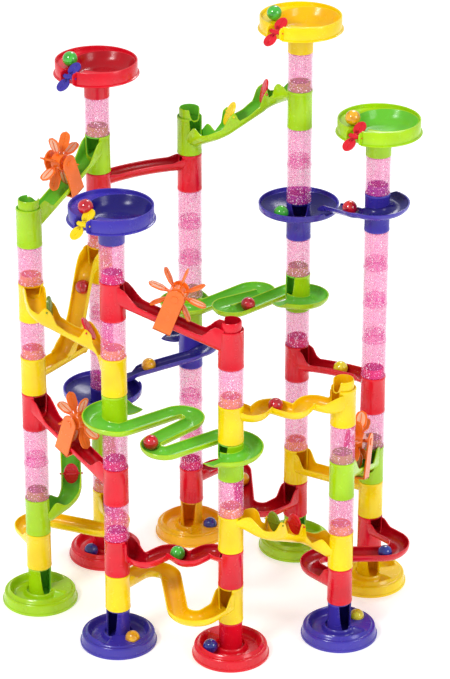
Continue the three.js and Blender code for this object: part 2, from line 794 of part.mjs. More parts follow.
const PADDLES = [
  [end("C", 11, { count: 2 }), end("A", 10, { open: true }), "green"],
  [end("B", 9, { count: 2 }), end("E", 8, { open: true }), "red"],
  [end("A", 5), end("B", 4, { count: 2 }), "red"],
  [end("H", 4, { count: 2 }), end("G", 3, { count: 2 }), "green"],
];
for (const [upper, lower, colour] of PADDLES) {
  const name = lowerCase(upper, lower);
  mesh(`paddle_chute_${name}`, cheekedChute(upper, lower), colour);
  const frame = wheelFrame(upper, lower);
  set(mesh(`paddle_wheel_${name}`, wheelSolid(), "orange"), frame);
  set(mesh(`paddle_bracket_${name}`, bracketSolid(frame.drop), "orange"), frame);
}

// Each flap: which pair of ears carries it, how far its nose hangs down, and its colour.
const SNAKES = [
  [end("F", 12, { count: 2 }), end("D", 11, { open: true }), "green",
    [[0, 75, "red"], [1, 65, "yellow"]]],
  [end("A", 8, { count: 2 }), end("B", 7, { count: 2 }), "yellow",
    [[0, 85, "olive"], [1, 60, "red"]]],
  [end("E", 3, { count: 2 }), end("H", 2, { count: 2 }), "yellow",
    [[0, 80, "olive"], [1, 80, "red"]]],
  [end("C", 3), end("A", 2), "green", [[1, 100, "red"]]],
];
for (const [upper, lower, colour, flaps] of SNAKES) {
  const name = lowerCase(upper, lower);
  mesh(`flap_chute_${name}`, snakeChute(upper, lower), colour);
  const walk = snakeWalk(upper, lower);
  for (const [place, hang, flapColour] of flaps) {
    const p = pointAt(walk, FLAP_PLACES[place]);
    const piece = mesh(`flap_${name}_${place + 1}`, flapSolid(), flapColour);
    set(piece, { at: [p.x, p.y, p.z + FLAP_LIFT], turn: p.h, drop: rad(hang) });
  }
}

const HOOKS = [
  [end("A", 1), end("C", 1, { count: 2 }), "yellow"],
  [end("B", 1), end("E", 1), "yellow"],
  [end("D", 1), end("F", 1), "red"],
  [end("G", 1), end("H", 1), "red"],
];
for (const [upper, lower, colour] of HOOKS) {
  const walk = curvedWalk(TOWERS[upper.tower], TOWERS[lower.tower], HOOK);
  mesh(`hook_chute_${lowerCase(upper, lower)}`, plainChute(upper, lower, walk, 20, 13), colour);
}

for (const [upper, lower] of [[end("G", 10, { count: 2 }), end("F", 9)], [end("D", 5), end("C", 4)]]) {
  mesh(`twin_dish_${lowerCase(upper, lower)}`, twinDish(upper, lower), "blue");
}
const HAIRPINS = [[end("F", 7, { count: 2 }), end("D", 6)], [end("B", 6), end("E", 5)]];
for (const [upper, lower] of HAIRPINS) {
  mesh(`hairpin_chute_${lowerCase(upper, lower)}`, hairpinChute(upper, lower), "green");
}
mesh("steep_chute_ca", steepChute(end("C", 8, { count: 2 }), end("A", 6, { count: 2 })), "yellow");

const bridge = bowedWalk(TOWERS.C, TOWERS.D, 9);
mesh("bridge_chute_cd", plainChute(end("C", 10), end("D", 10), bridge, 25, 24), "red");
const wavyLow = wavyWalk(TOWERS.E, TOWERS.B, 1.5);
mesh("wavy_chute_eb", plainChute(end("E", 2), end("B", 2, { count: 2 }), wavyLow, 29, 11), "red");
const wavyHigh = wavyWalk(TOWERS.E, TOWERS.H, 1.5);
const openH = end("H", 6, { open: true });
mesh("wavy_chute_eh", plainChute(end("E", 6, { count: 2 }), openH, wavyHigh, 24.6, 16.3), "yellow");
const level = straightWalk(TOWERS.G, TOWERS.F);
mesh("straight_chute_gf", plainChute(end("G", 2), end("F", 2), level, 28, 11), "yellow");
const bowed = bowedWalk(TOWERS.G, TOWERS.F, -6);
mesh("bowed_chute_gf", plainChute(end("G", 5), end("F", 5, { count: 2 }), bowed, 31, 11), "red");

// Stacks of clear tubes, glued as one column each.
const COLUMNS = [
  ["a", "A", 3, 2], ["c", "C", 5, 3], ["d_low", "D", 2, 3], ["d_high", "D", 7, 3],
  ["f_low", "F", 3, 2], ["f_high", "F", 10, 2], ["g", "G", 6, 4],
];
for (const [name, tower, first, count] of COLUMNS) {
  const column = { tower, level: first, count };
  mesh(`clear_column_${name}`, towerTube(column).subtract(tubeBore(column)), "clear", 0.1);
}

export default run;
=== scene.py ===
import bisect
import json
import math

import bmesh
import bpy
from mathutils import Euler, Matrix, Vector


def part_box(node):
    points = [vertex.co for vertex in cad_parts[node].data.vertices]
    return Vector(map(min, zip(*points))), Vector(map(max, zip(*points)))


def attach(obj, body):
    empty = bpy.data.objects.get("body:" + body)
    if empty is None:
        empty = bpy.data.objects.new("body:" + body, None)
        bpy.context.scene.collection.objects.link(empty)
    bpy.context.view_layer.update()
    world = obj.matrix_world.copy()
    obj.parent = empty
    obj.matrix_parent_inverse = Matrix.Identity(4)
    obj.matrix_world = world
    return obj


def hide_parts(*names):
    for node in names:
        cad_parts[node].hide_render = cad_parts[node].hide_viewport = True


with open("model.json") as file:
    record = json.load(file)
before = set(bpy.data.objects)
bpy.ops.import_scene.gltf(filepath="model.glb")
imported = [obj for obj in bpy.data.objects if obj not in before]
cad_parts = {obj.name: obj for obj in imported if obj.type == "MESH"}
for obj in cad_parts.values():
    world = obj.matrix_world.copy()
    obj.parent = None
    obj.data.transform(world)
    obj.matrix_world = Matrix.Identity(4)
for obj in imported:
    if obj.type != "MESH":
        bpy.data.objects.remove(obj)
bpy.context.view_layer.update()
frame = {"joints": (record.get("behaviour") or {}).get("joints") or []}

# ---------------------------------------------------------------- driving dimensions, in millimetres
MM = 0.001
PITCH = 44
BASE_H = 42.8
GAP = 0.3
TUBE_R = 14
BORE_R = 12.2
CLEAR_BORE_R = 12.5
SPIGOT_R = 11.5
SPIGOT_BORE_R = 10.3
SPIGOT_H = 10
NECK_R = 13.2
TROUGH_W = 11.5  # half width outside
TROUGH_H = 12
WALL = 1.6
MARBLE_R = 8.25

TOWER_NAMES = "ABCDEFGH"


def tower_axis(name):
    low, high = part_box(f"base_{name.lower()}")
    return ((low.x + high.x) / 2 / MM, (low.y + high.y) / 2 / MM)


TOWERS = {name: tower_axis(name) for name in TOWER_NAMES}
JOINTS = {joint["child"]: joint for joint in frame["joints"]}


def level_z(level):
    return BASE_H + (level - 1) * PITCH


def joint_place(node):
    """A moving piece's own origin in millimetres, and its turn in plan, from its joint."""
    joint = JOINTS[node]
    ax, ay, _ = joint["axis"]
    return Vector(joint["pos_m"]) / MM, math.atan2(-ax, ay)


# ---------------------------------------------------------------- materials
def srgb(red, green, blue):
    def linear(value):
        value /= 255
        return value / 12.92 if value <= 0.04045 else ((value + 0.055) / 1.055) ** 2.4

    return (linear(red), linear(green), linear(blue), 1)


# Outside colour, and a darker copy of it painted as shade on the faces inside tubes, troughs and bowls.
PLASTICS = {
    "red": (srgb(222, 12, 38), srgb(186, 8, 28)),
    "yellow": (srgb(255, 216, 0), srgb(255, 196, 8)),
    "amber": (srgb(255, 186, 8), srgb(255, 150, 8)),
    "green": (srgb(166, 212, 10), srgb(112, 200, 54)),
    "blue": (srgb(62, 50, 168), srgb(34, 26, 118)),
    "orange": (srgb(246, 116, 30), srgb(248, 80, 14)),
    "olive": (srgb(122, 148, 30), srgb(94, 124, 24)),
    "peach": (srgb(252, 186, 150), srgb(250, 160, 120)),
}


def link(tree, source, target):
    tree.links.new(source, target)


def noise(tree, coordinates, scale, detail=2.0):
    node = tree.nodes.new("ShaderNodeTexNoise")
    node.inputs["Scale"].default_value = scale
    node.inputs["Detail"].default_value = detail
    link(tree, coordinates.outputs["Object"], node.inputs["Vector"])
    return node


def ramp(tree, factor, low, high, start=0.3, stop=0.7):
    node = tree.nodes.new("ShaderNodeValToRGB")
    node.color_ramp.elements[0].position = start
    node.color_ramp.elements[0].color = low
    node.color_ramp.elements[1].position = stop
    node.color_ramp.elements[1].color = high
    link(tree, factor, node.inputs["Fac"])
    return node


def scaled(colour, amount):
    return (*[min(1, c * amount) for c in colour[:3]], 1)


def shader(name):
    material = bpy.data.materials.new(name)
    material.use_nodes = True
    tree = material.node_tree
    coordinates = tree.nodes.new("ShaderNodeTexCoord")
    return material, tree, tree.nodes["Principled BSDF"], coordinates


def bump(tree, height, surface, strength, distance):
    node = tree.nodes.new("ShaderNodeBump")
    node.inputs["Strength"].default_value = strength
    node.inputs["Distance"].default_value = distance
    link(tree, height, node.inputs["Height"])
    link(tree, node.outputs["Normal"], surface.inputs["Normal"])


def moulded_plastic(name, colour, gloss_level):
    """Glossy moulded plastic: cloudy pigment, faint flow marks and small changes of gloss."""
    material, tree, surface, coordinates = shader(name)
    clouds = noise(tree, coordinates, 26)
    pigment = ramp(tree, clouds.outputs["Fac"], scaled(colour, 0.86), scaled(colour, 1.1))
    link(tree, pigment.outputs["Color"], surface.inputs["Base Color"])
    handling = noise(tree, coordinates, 140, 4)
    gloss = ramp(tree, handling.outputs["Fac"], (0.16, 0.16, 0.16, 1), (0.3, 0.3, 0.3, 1))
    link(tree, gloss.outputs["Color"], surface.inputs["Roughness"])
    flow = noise(tree, coordinates, 320, 3)
    bump(tree, flow.outputs["Fac"], surface, 0.12, 0.0004)
    surface.inputs["Specular IOR Level"].default_value = gloss_level
    surface.inputs["Coat Weight"].default_value = gloss_level / 4
    surface.inputs["Coat Roughness"].default_value = 0.06
    surface.inputs["Subsurface Weight"].default_value = 0.1
    surface.inputs["Subsurface Scale"].default_value = 0.003
    return material


def glitter_plastic(name, colour, opacity):
    """Clear pink plastic with flakes of glitter set in it."""
    material, tree, surface, coordinates = shader(name)
    flakes = tree.nodes.new("ShaderNodeTexVoronoi")
    flakes.inputs["Scale"].default_value = 560
    link(tree, coordinates.outputs["Object"], flakes.inputs["Vector"])
    chosen = ramp(tree, flakes.outputs["Color"], (0, 0, 0, 1), (1, 1, 1, 1), 0.62, 0.68)
    near = ramp(tree, flakes.outputs["Distance"], (1, 1, 1, 1), (0, 0, 0, 1), 0.3, 0.42)
    spark = tree.nodes.new("ShaderNodeMath")
    spark.operation = "MULTIPLY"
    link(tree, chosen.outputs["Color"], spark.inputs[0])
    link(tree, near.outputs["Color"], spark.inputs[1])
    clouds = noise(tree, coordinates, 60)
    tint = ramp(tree, clouds.outputs["Fac"], scaled(colour, 0.86), scaled(colour, 1.12))
    paint = tree.nodes.new("ShaderNodeMix")
    paint.data_type = "RGBA"
    paint.inputs["B"].default_value = (1, 0.92, 0.98, 1)
    link(tree, spark.outputs[0], paint.inputs["Factor"])
    link(tree, tint.outputs["Color"], paint.inputs["A"])
    link(tree, paint.outputs["Result"], surface.inputs["Base Color"])
    alpha = tree.nodes.new("ShaderNodeMapRange")
    alpha.inputs["To Min"].default_value = opacity
    alpha.inputs["To Max"].default_value = 0.9
    link(tree, spark.outputs[0], alpha.inputs["Value"])
    link(tree, alpha.outputs["Result"], surface.inputs["Alpha"])
    bump(tree, flakes.outputs["Distance"], surface, 0.25, 0.0003)
    surface.inputs["Roughness"].default_value = 0.12
    surface.inputs["Coat Weight"].default_value = 0.4
    surface.inputs["Coat Roughness"].default_value = 0.05
    return material


def glass_marble(name, colour):
    """A glossy marble with a swirl of lighter glass."""
    material, tree, surface, coordinates = shader(name)
    swirl = noise(tree, coordinates, 90, 3)
    swirl.inputs["Distortion"].default_value = 1.6
    pigment = ramp(tree, swirl.outputs["Fac"], scaled(colour, 0.7), scaled(colour, 1.35), 0.4, 0.68)
    link(tree, pigment.outputs["Color"], surface.inputs["Base Color"])
    bump(tree, swirl.outputs["Fac"], surface, 0.05, 0.0002)
    surface.inputs["Roughness"].default_value = 0.07
    surface.inputs["Coat Weight"].default_value = 0.8
    surface.inputs["Coat Roughness"].default_value = 0.03
    return material


MATERIALS = {}
# Each plastic gets two materials: its own colour, and a darker copy with less gloss that paints shade on
# inner faces.
for slot_name, (outside, inside) in PLASTICS.items():
    MATERIALS[slot_name] = (
        moulded_plastic(f"{slot_name}_plastic", outside, 0.42),
        moulded_plastic(f"{slot_name}_plastic_painted_shade", inside, 0.26),
    )
# A deeper pink copy of the clear plastic is painted as shade on the inner faces of the clear tubes.
CLEAR = srgb(255, 78, 184)
CLEAR_SHADED_INSIDE = srgb(255, 50, 160)
MATERIALS["clear"] = (
    glitter_plastic("glitter_plastic", CLEAR, 0.3),
    glitter_plastic("glitter_plastic_painted_shade", CLEAR_SHADED_INSIDE, 0.22),
)
MARBLES = {
    "red": glass_marble("red_marble", srgb(196, 14, 34)),
    "blue": glass_marble("blue_marble", srgb(26, 44, 150)),
    "amber": glass_marble("amber_marble", srgb(250, 170, 14)),
    "green": glass_marble("green_marble", srgb(62, 178, 52)),
    "yellow": glass_marble("yellow_marble", srgb(248, 214, 20)),
}


# ---------------------------------------------------------------- shapes
# Material slots: the plastic's own colour, the painted-shade copy for inner faces, and an accent colour.
OUTSIDE, SHADED_INSIDE, ACCENT = 0, 1, 2


def polar(at, r, angle):
    return (at[0] + r * math.cos(angle), at[1] + r * math.sin(angle))


class Shape:
    """Closed shells gathered into one mesh, in millimetres."""

    def __init__(self):
        self.points = []
        self.faces = []
        self.paint = []

    def loft(self, rings, around=False, paint=OUTSIDE):
        """Joins closed loops of equally many points. Around joins the last loop to the first;
        otherwise both ends are capped. Paint is one material index or one for each side of a loop."""
        first = len(self.points)
        n = len(rings[0])
        paints = paint if isinstance(paint, list) else [paint] * n
        for ring in rings:
            self.points.extend(ring)
        joined = len(rings) if around else len(rings) - 1
        for i in range(joined):
            a = first + i * n
            b = first + (i + 1) % len(rings) * n
            for k in range(n):
                m = (k + 1) % n
                self.faces.append((a + k, a + m, b + m, b + k))
                self.paint.append(paints[k])
        if not around:
            self.faces.append(tuple(range(first + n - 1, first - 1, -1)))
            self.faces.append(tuple(range(first + joined * n, first + (joined + 1) * n)))
            self.paint += [paints[0], paints[0]]

    def turned(self, profile, at, angles, paint=OUTSIDE):
        """Turns a closed outline round the upright axis at a point. Profile gives the (radius,
        height) pairs for each angle."""
        rings = [[(*polar(at, r, a), z) for r, z in profile(a)] for a in angles]
        self.loft(rings, around=True, paint=paint)

    def sweep(self, walk, section, start=0.0, end=1.0, paint=OUTSIDE):
        """Carries a closed outline of (across, up) pairs along a walk."""
        rings = []
        for t in walk.times(start, end):
            x, y, z, h = walk.at(t)
            rings.append([(x - math.sin(h) * a, y + math.cos(h) * a, z + up) for a, up in section(t)])
        self.loft(rings, paint=paint)

    def moved(self, matrix):
        self.points = [tuple(matrix @ Vector(point)) for point in self.points]


CREASE = math.radians(38)


def piece(name, shape, materials, nodes=(), body="frame"):
    mesh = bpy.data.meshes.new(name)
    mesh.from_pydata([tuple(c * MM for c in p) for p in shape.points], [], shape.faces)
    mesh.polygons.foreach_set("material_index", shape.paint)
    work = bmesh.new()
    work.from_mesh(mesh)
    bmesh.ops.recalc_face_normals(work, faces=work.faces)
    work.to_mesh(mesh)
    work.free()
    mesh.shade_smooth()
    mesh.set_sharp_from_angle(angle=CREASE)
    for material in materials:
        mesh.materials.append(material)
    obj = bpy.data.objects.new(name, mesh)
    bpy.context.scene.collection.objects.link(obj)
    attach(obj, body)
    if nodes:
        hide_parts(*nodes)


def moulding(node, shape, slot, body="frame"):
    """The plastic piece that stands for one CAD node."""
    piece(node + "_moulding", shape, MATERIALS[slot], [node], body)


# ---------------------------------------------------------------- walks in plan
def walk_from(start, heading, moves, step=5.0, turn_step=8.0):
    """Points (x, y, heading) along moves: ("go", length) or ("turn", radius, degrees)."""
    x, y = start
    h = math.radians(heading)
    points = [(x, y, h)]
    for kind, size, *degrees in moves:
        if kind == "go":
            count = max(1, math.ceil(size / step))
            for i in range(1, count + 1):
                far = size * i / count
                points.append((x + math.cos(h) * far, y + math.sin(h) * far, h))
        else:
            side = math.copysign(1, degrees[0])
            centre = (x - side * size * math.sin(h), y + side * size * math.cos(h))
            count = math.ceil(abs(degrees[0]) / turn_step)
            for i in range(1, count + 1):
                now = h + math.radians(degrees[0] * i / count)
                across = side * size
                points.append(
                    (centre[0] + across * math.sin(now), centre[1] - across * math.cos(now), now)
                )
        x, y, h = points[-1]
    return points


class Walk:
    """A chute's middle line with the height of its underside."""

    def __init__(self, points, high, low, height=None):
        self.points = points
        along = [0.0]
        for (ax, ay, _), (bx, by, _) in zip(points, points[1:]):
            along.append(along[-1] + math.hypot(bx - ax, by - ay))
        self.length = along[-1]
        self.stops = [a / self.length for a in along]
        self.height = height or (lambda t: high + (low - high) * t)

    def at(self, t):
        i = min(max(bisect.bisect_left(self.stops, t), 1), len(self.points) - 1)
        a, b = self.points[i - 1], self.points[i]
        share = (t - self.stops[i - 1]) / (self.stops[i] - self.stops[i - 1])
        x, y, h = (p + (q - p) * share for p, q in zip(a, b))
        return x, y, self.height(t), h

    def times(self, start=0.0, end=1.0):
        return [start, *[t for t in self.stops if start + 1e-4 < t < end - 1e-4], end]


def bearing(a, b):
    return math.degrees(math.atan2(b[1] - a[1], b[0] - a[0]))


def distance(a, b):
    return math.hypot(b[0] - a[0], b[1] - a[1])


def straight_points(a, b):
    return walk_from(a, bearing(a, b), [("go", distance(a, b))])


def bowed_points(a, b, bow):
    side = math.copysign(1, bow)
    half = distance(a, b) / 2
    r = (half * half + bow * bow) / (2 * abs(bow))
    angle = math.degrees(2 * math.asin(half / r))
    return walk_from(a, bearing(a, b) + side * angle / 2, [("turn", r, -side * angle)], turn_step=2)


def curved_points(a, b, out, r, degrees, side=1):
    """Out of one tower, round a tight bend, across the middle and round the other way."""
    angle = math.radians(degrees)
    half = distance(a, b) / 2
    far = out + r * math.sin(angle)
    off = r * (1 - math.cos(angle))
    p = far * math.cos(angle) + off * math.sin(angle)
    middle = -p + math.sqrt(p * p - (far * far + off * off - half * half))
    lean = math.atan2(off + middle * math.sin(angle), far + middle * math.cos(angle))
    start = bearing(a, b) + side * math.degrees(lean)
    bends = [("turn", r, -side * degrees), ("go", 2 * middle), ("turn", r, side * degrees)]
    return walk_from(a, start, [("go", out), *bends, ("go", out)])


SWAY = 9
WAVES = 2.6
FIRST_BEND = 0.165  # share of the way along
WAVY_STEPS = 48


def wavy_points(a, b):
    """A walk that weaves from side to side, furthest right at its first bend."""
    facing = math.radians(bearing(a, b))
    length = distance(a, b)

    def sway(t):
        settled = min(1, 1.5 * math.sin(math.pi * t))
        return -SWAY * math.cos(2 * math.pi * WAVES * (t - FIRST_BEND)) * settled

    points = []
    for i in range(WAVY_STEPS + 1):
        t = i / WAVY_STEPS
        x = a[0] + (b[0] - a[0]) * t - math.sin(facing) * sway(t)
        y = a[1] + (b[1] - a[1]) * t + math.cos(facing) * sway(t)
        slope = (sway(t + 0.01) - sway(t - 0.01)) / (0.02 * length)
        points.append((x, y, facing + math.atan(slope)))
    return points


RING_WALK_R = 24
HAIRPIN_GO = 4
HAIRPIN_BEND = 54
HAIRPIN_BEND_R = 16
HAIRPIN_OUT = 25


def hairpin_points(a, b):
    """Round the first tower, through two hairpins and round the second tower."""
    facing = bearing(a, b)
    half = distance(a, b) / 2
    turn = math.radians(HAIRPIN_BEND)
    dx = half - HAIRPIN_GO - HAIRPIN_BEND_R * math.sin(turn)
    dy = RING_WALK_R - HAIRPIN_BEND_R * (1 - math.cos(turn))
    straight = dx * math.cos(turn) + dy * math.sin(turn) + HAIRPIN_OUT
    r = (dx * math.sin(turn) - dy * math.cos(turn)) / 2
    start = polar(a, RING_WALK_R, math.radians(facing + 45))
    moves = [
        ("turn", RING_WALK_R, 225), ("go", HAIRPIN_GO), ("turn", HAIRPIN_BEND_R, HAIRPIN_BEND),
        ("go", straight), ("turn", r, -180), ("go", HAIRPIN_OUT),
    ]
    first = walk_from(start, facing + 135, moves)
    second = [(a[0] + b[0] - x, a[1] + b[1] - y, h) for x, y, h in reversed(first[:-1])]
    return first + second


def smooth(t):
    t = min(1, max(0, t))
    return t * t * (3 - 2 * t)


def profile_height(stops):
    """A smooth curve through (t, height) pairs."""

    def height(t):
        for (ta, ha), (tb, hb) in zip(stops, stops[1:]):
            if t <= tb:
                return ha + (hb - ha) * smooth((t - ta) / (tb - ta))
        return stops[-1][1]

    return height


# ---------------------------------------------------------------- tubes
def angle_gap(a, b):
    return abs((a - b + math.pi) % (2 * math.pi) - math.pi)


def ring_angles(facing=None, count=40):
    """Angles round a tube, packed closer where a window's edges are steep."""
    if facing is None:
        return [2 * math.pi * i / count for i in range(count)]
    near = [math.radians(d) for d in (0, 10, 18, 25, 30, 34, 37, 39.5, 41.5, 43.5, 46)]
    side = [math.radians(46 + (180 - 46) * i / 14) for i in range(1, 15)]
    half = near + side
    return [facing + a for a in half] + [facing - a for a in reversed(half[1:-1])]


WINDOW_HALF = math.radians(44)


def window_top(angle, facing, sill, top):
    """The height of a tube's wall: cut down to a sill in a U round the facing direction."""
    if facing is None:
        return top
    share = angle_gap(angle, facing) / WINDOW_HALF
    return top if share >= 1 else sill + (top - sill) * share**4


LIP = 0.7


def tube(shape, at, low, high, facing=None, sill=None, outer=TUBE_R, bore=BORE_R):
    """One plain tube with rounded ends, a bead at each end and, where it faces, a window."""

    def profile(angle):
        top = window_top(angle, facing, sill, high)
        body = outer - 0.25
        tall = top - low
        bead = min(2.4, tall / 4)
        outside = [
            (outer - 0.5, low), (outer, low + 0.5), (outer, low + bead), (body, low + bead + 0.4),
            (body, low + tall * 0.5), (body, top - bead - 0.4), (outer, top - bead),
            (outer, top - LIP), (outer - 0.3, top - 0.15), (outer - 0.8, top),
        ]
        within = [(bore + 0.3, top), (bore, top - 0.5), (bore, low + tall * 0.5), (bore, low)]
        return outside + within

    shape.turned(profile, at, ring_angles(facing), paint=[OUTSIDE] * 9 + [SHADED_INSIDE] * 5)


def spigot(shape, at, high, facing=None, sill=None):
    """The narrower end that plugs into the tube above."""

    def profile(angle):
        top = window_top(angle, facing, sill, high + SPIGOT_H)
        low = min(high - 2, top - 1)
        return [
            (SPIGOT_R, low), (SPIGOT_R, top - 1.4), (SPIGOT_R - 0.5, top - 0.3), (SPIGOT_R - 0.9, top),
            (SPIGOT_R - 1.4, top - 0.3), (SPIGOT_R - 1.4, low),
        ]

    shape.turned(profile, at, ring_angles(facing), paint=[OUTSIDE] * 3 + [SHADED_INSIDE] * 3)


def shoulder(shape, at, high):
    """The narrowing inside a tube's top that carries its spigot."""
    outer = BORE_R + 0.6

    def profile(_):
        low = high - 1.8
        return [(outer, low), (outer, high - 0.5), (SPIGOT_BORE_R, high - 0.3), (SPIGOT_BORE_R, low)]

    shape.turned(profile, at, ring_angles(), paint=SHADED_INSIDE)


def floor_disc(shape, at, z, r=BORE_R + 0.5):
    """The plate that turns a marble out of its tube at a window's sill."""
    spots = [polar(at, r, a) for a in ring_angles()]
    shape.loft([[(x, y, z + up) for x, y in spots] for up in (-1.2, 0)], paint=SHADED_INSIDE)


def clear_stack(name, tower, first, count, nodes):
    shape = Shape()
    at = TOWERS[tower]
    for level in range(first, first + count):
        tube(shape, at, level_z(level) + GAP, level_z(level + 1), bore=CLEAR_BORE_R)
        spigot(shape, at, level_z(level + 1))
    piece(name, shape, MATERIALS["clear"], nodes)


# ---------------------------------------------------------------- troughs
GUTTER = 9.5  # depth of the round bottom, where the walls are high enough
GUTTER_STEPS = 9
SOFT = 0.6  # height over which a rim is rounded


def trough_section(left, right):
    """A half-round gutter with rounded rims. Left and right are the walls' heights."""
    depth = min(GUTTER, left, right)

    def arc(width, low):
        rise = depth - low
        turns = [math.pi * (i / (GUTTER_STEPS - 1) - 0.5) for i in range(GUTTER_STEPS)]
        return [(width * math.sin(a), low + max(rise, 0.2) * (1 - math.cos(a))) for a in turns]

    inner = TROUGH_W - WALL
    outside = arc(TROUGH_W, 0)
    within = list(reversed(arc(inner, WALL)))
    low_right = max(right - SOFT, depth + 0.05)
    low_left = max(left - SOFT, depth + 0.05)
    wide, narrow = TROUGH_W - WALL / 4, inner + WALL / 4
    right_rim = [(TROUGH_W, low_right), (wide, right), (narrow, right), (inner, low_right)]
    left_rim = [(-inner, low_left), (-narrow, left), (-wide, left), (-TROUGH_W, low_left)]
    return outside + right_rim + within + left_rim


# Trough faces: the plastic's colour outside and on the rims, painted shade along the inner channel.
TROUGH_PAINT = [OUTSIDE] * (GUTTER_STEPS + 3) + [SHADED_INSIDE] * (GUTTER_STEPS + 1) + [OUTSIDE] * 4


START_IN = 5  # a trough starts and ends this far from the tower's axis


def collars(length, ends, short=5, out=11, fall=12):
    """Walls that sweep up beside each ring to this far short of its top. They start to fall this
    far out from the tower's axis and are down after the fall."""

    def rims(t):
        top = PITCH - ends[round(t)] - short
        away = length * min(t, 1 - t)
        tall = TROUGH_H + (top - TROUGH_H) * (1 - smooth((away - out) / fall))
        return (tall, tall)

    return rims


class End:
    """The ring that a chute ends in: its tower and level, whether a clear tube stands on it and
    whether its top is open."""

    def __init__(self, tower, level, clear=False, open_top=False):
        self.tower = tower
        self.level = level
        self.clear = clear
        self.open_top = open_top

    @property
    def at(self):
        return TOWERS[self.tower]

    @property
    def z(self):
        return level_z(self.level)


def pair_of(upper, lower):
    """The two towers' letters, as the names of pieces have them."""
    return (upper.tower + lower.tower).lower()


def chute_end(shape, end, facing, sill, floored=False):
    """A coloured ring with its window, spigot and shoulder."""
    high = end.z + PITCH
    tube(shape, end.at, end.z + GAP, high, facing, sill)
    if end.open_top:
        spigot(shape, end.at, high, facing, high - 3)
    else:
        spigot(shape, end.at, high)
        shoulder(shape, end.at, high)
    if floored:
        floor_disc(shape, end.at, sill + 0.4)


def clear_tubes_over(node, *ends):
    """The clear tube on each of these rings that carries one."""
    for end in ends:
        above = end.level + 1
        if end.clear:
            clear_stack(f"clear_tube_{end.tower}{above}".lower(), end.tower, above, 1, [node])


def make_chute(
    kind, upper, lower, points, ends, slot, rims=None, facings=None, height=None, full=False
):
    """A chute's two rings and the trough between them, as one piece, with a clear tube above
    each ring that carries one. Rims gives the left and right wall's height at t. A full trough
    runs the whole walk, as it does where the walk starts and ends beside its towers."""
    node = f"{kind}_{pair_of(upper, lower)}"
    walk = Walk(points, upper.z + ends[0], lower.z + ends[1], height)
    rims = rims or collars(walk.length, ends)
    shape = Shape()
    inset = 0 if full else START_IN / walk.length
    shape.sweep(walk, lambda t: trough_section(*rims(t)), inset, 1 - inset, TROUGH_PAINT)
    if facings is None:
        facings = (walk.points[0][2], walk.points[-1][2] + math.pi)
    first, last = walk.at(0)[2] + WALL, walk.at(1)[2] + WALL
    chute_end(shape, upper, facings[0], first, floored=True)
    chute_end(shape, lower, facings[1], last)
    moulding(node, shape, slot)
    clear_tubes_over(node, upper, lower)
    return walk


# ---------------------------------------------------------------- one marble
MARBLE_RINGS = 16
MARBLE_SIDES = 24


def marble(name, centre, colour):
    x, y, z = centre
    shape = Shape()
    loops = []
    for i in range(1, MARBLE_RINGS):
        tilt = math.pi * i / MARBLE_RINGS
        r = MARBLE_R * math.sin(tilt)
        up = -MARBLE_R * math.cos(tilt)
        turns = [2 * math.pi * k / MARBLE_SIDES for k in range(MARBLE_SIDES)]
        loops.append([(*polar((x, y), r, a), z + up) for a in turns])
    shape.loft(loops)
    piece(f"marble_{name}", shape, [MARBLES[colour]])


def marble_on(name, walk, t, colour):
    x, y, z, _ = walk.at(t)
    marble(name, (x, y, z + WALL + MARBLE_R + 0.2), colour)


# ---------------------------------------------------------------- bases
FOOT_R = 42.6
LIP_R = 39.5
SHELF_Z = 14
TRAY_Z = 6
TRAY_R = 24.5
TRAY_TURN = math.radians(270)
TRAY_HALF = 9.6
TRAY_SIDE = 4.2
BEAD_R = 34
BEAD_H = 2.4
STEP_R = 36.8
STEP_H = 1.6
BASE_HOLE_R = 12.6
BASE_RINGS = 36


def make_base(tower, facing, slot):
    at = TOWERS[tower]
    facing = math.radians(facing)

    def inside_tray(angle):
        """1 within the spiral, which runs clockwise from the window, and 0 beyond its ends."""
        past = (facing - angle) % (2 * math.pi)
        if past > math.pi + TRAY_TURN / 2:
            past -= 2 * math.pi
        end = math.radians(20)
        return smooth((past + math.radians(24)) / end) * smooth((TRAY_TURN + math.radians(16) - past) / end)

    def surface(r, angle):
        open_here = inside_tray(angle)
        bead = BEAD_H * math.exp(-(((r - BEAD_R) / 1.5) ** 2)) * open_here
        step = STEP_H * smooth((STEP_R - r) / 0.8)
        shelf = SHELF_Z - STEP_H + step + bead
        deep = smooth((TRAY_HALF - abs(r - TRAY_R)) / TRAY_SIDE)
        near_neck = smooth((r - 13.5) / 3)
        bed = TRAY_Z + 0.02 * (r - TRAY_R) ** 2
        inner_side = max(deep, (1 - near_neck) * 0.9) if r < TRAY_R else deep
        return shelf + (bed - shelf) * inner_side * open_here

    radii = [BASE_HOLE_R + (LIP_R - BASE_HOLE_R) * i / BASE_RINGS for i in range(BASE_RINGS + 1)]

    def profile(angle):
        top = [(r, surface(r, angle)) for r in radii]
        skirt = [
            (LIP_R + 0.5, 11.9), (LIP_R + 0.9, 11.2), (LIP_R + 1, 10.4), (LIP_R + 1.5, 6),
            (FOOT_R - 0.9, 3.2), (FOOT_R - 0.1, 2.8), (FOOT_R, 2.2), (FOOT_R, 0.4), (FOOT_R - 0.4, 0),
        ]
        under = [(39, 0), (38.6, 3), (BASE_HOLE_R, 3)]
        return top + skirt + under

    shape = Shape()
    shape.turned(profile, at, ring_angles(count=108))
    tube(shape, at, 3.2, BASE_H, facing, TRAY_Z + 1.5, outer=NECK_R, bore=11)
    spigot(shape, at, BASE_H)
    floor_disc(shape, at, TRAY_Z + 2.5, r=11.5)
    moulding(f"base_{tower.lower()}", shape, slot)


BASES = [
    ("A", -40, "green"), ("B", -135, "blue"), ("C", -60, "red"), ("D", -110, "amber"),
    ("E", 60, "red"), ("F", -60, "green"), ("G", -60, "yellow"), ("H", -50, "blue"),
]
for tower, facing, slot in BASES:
    make_base(tower, facing, slot)


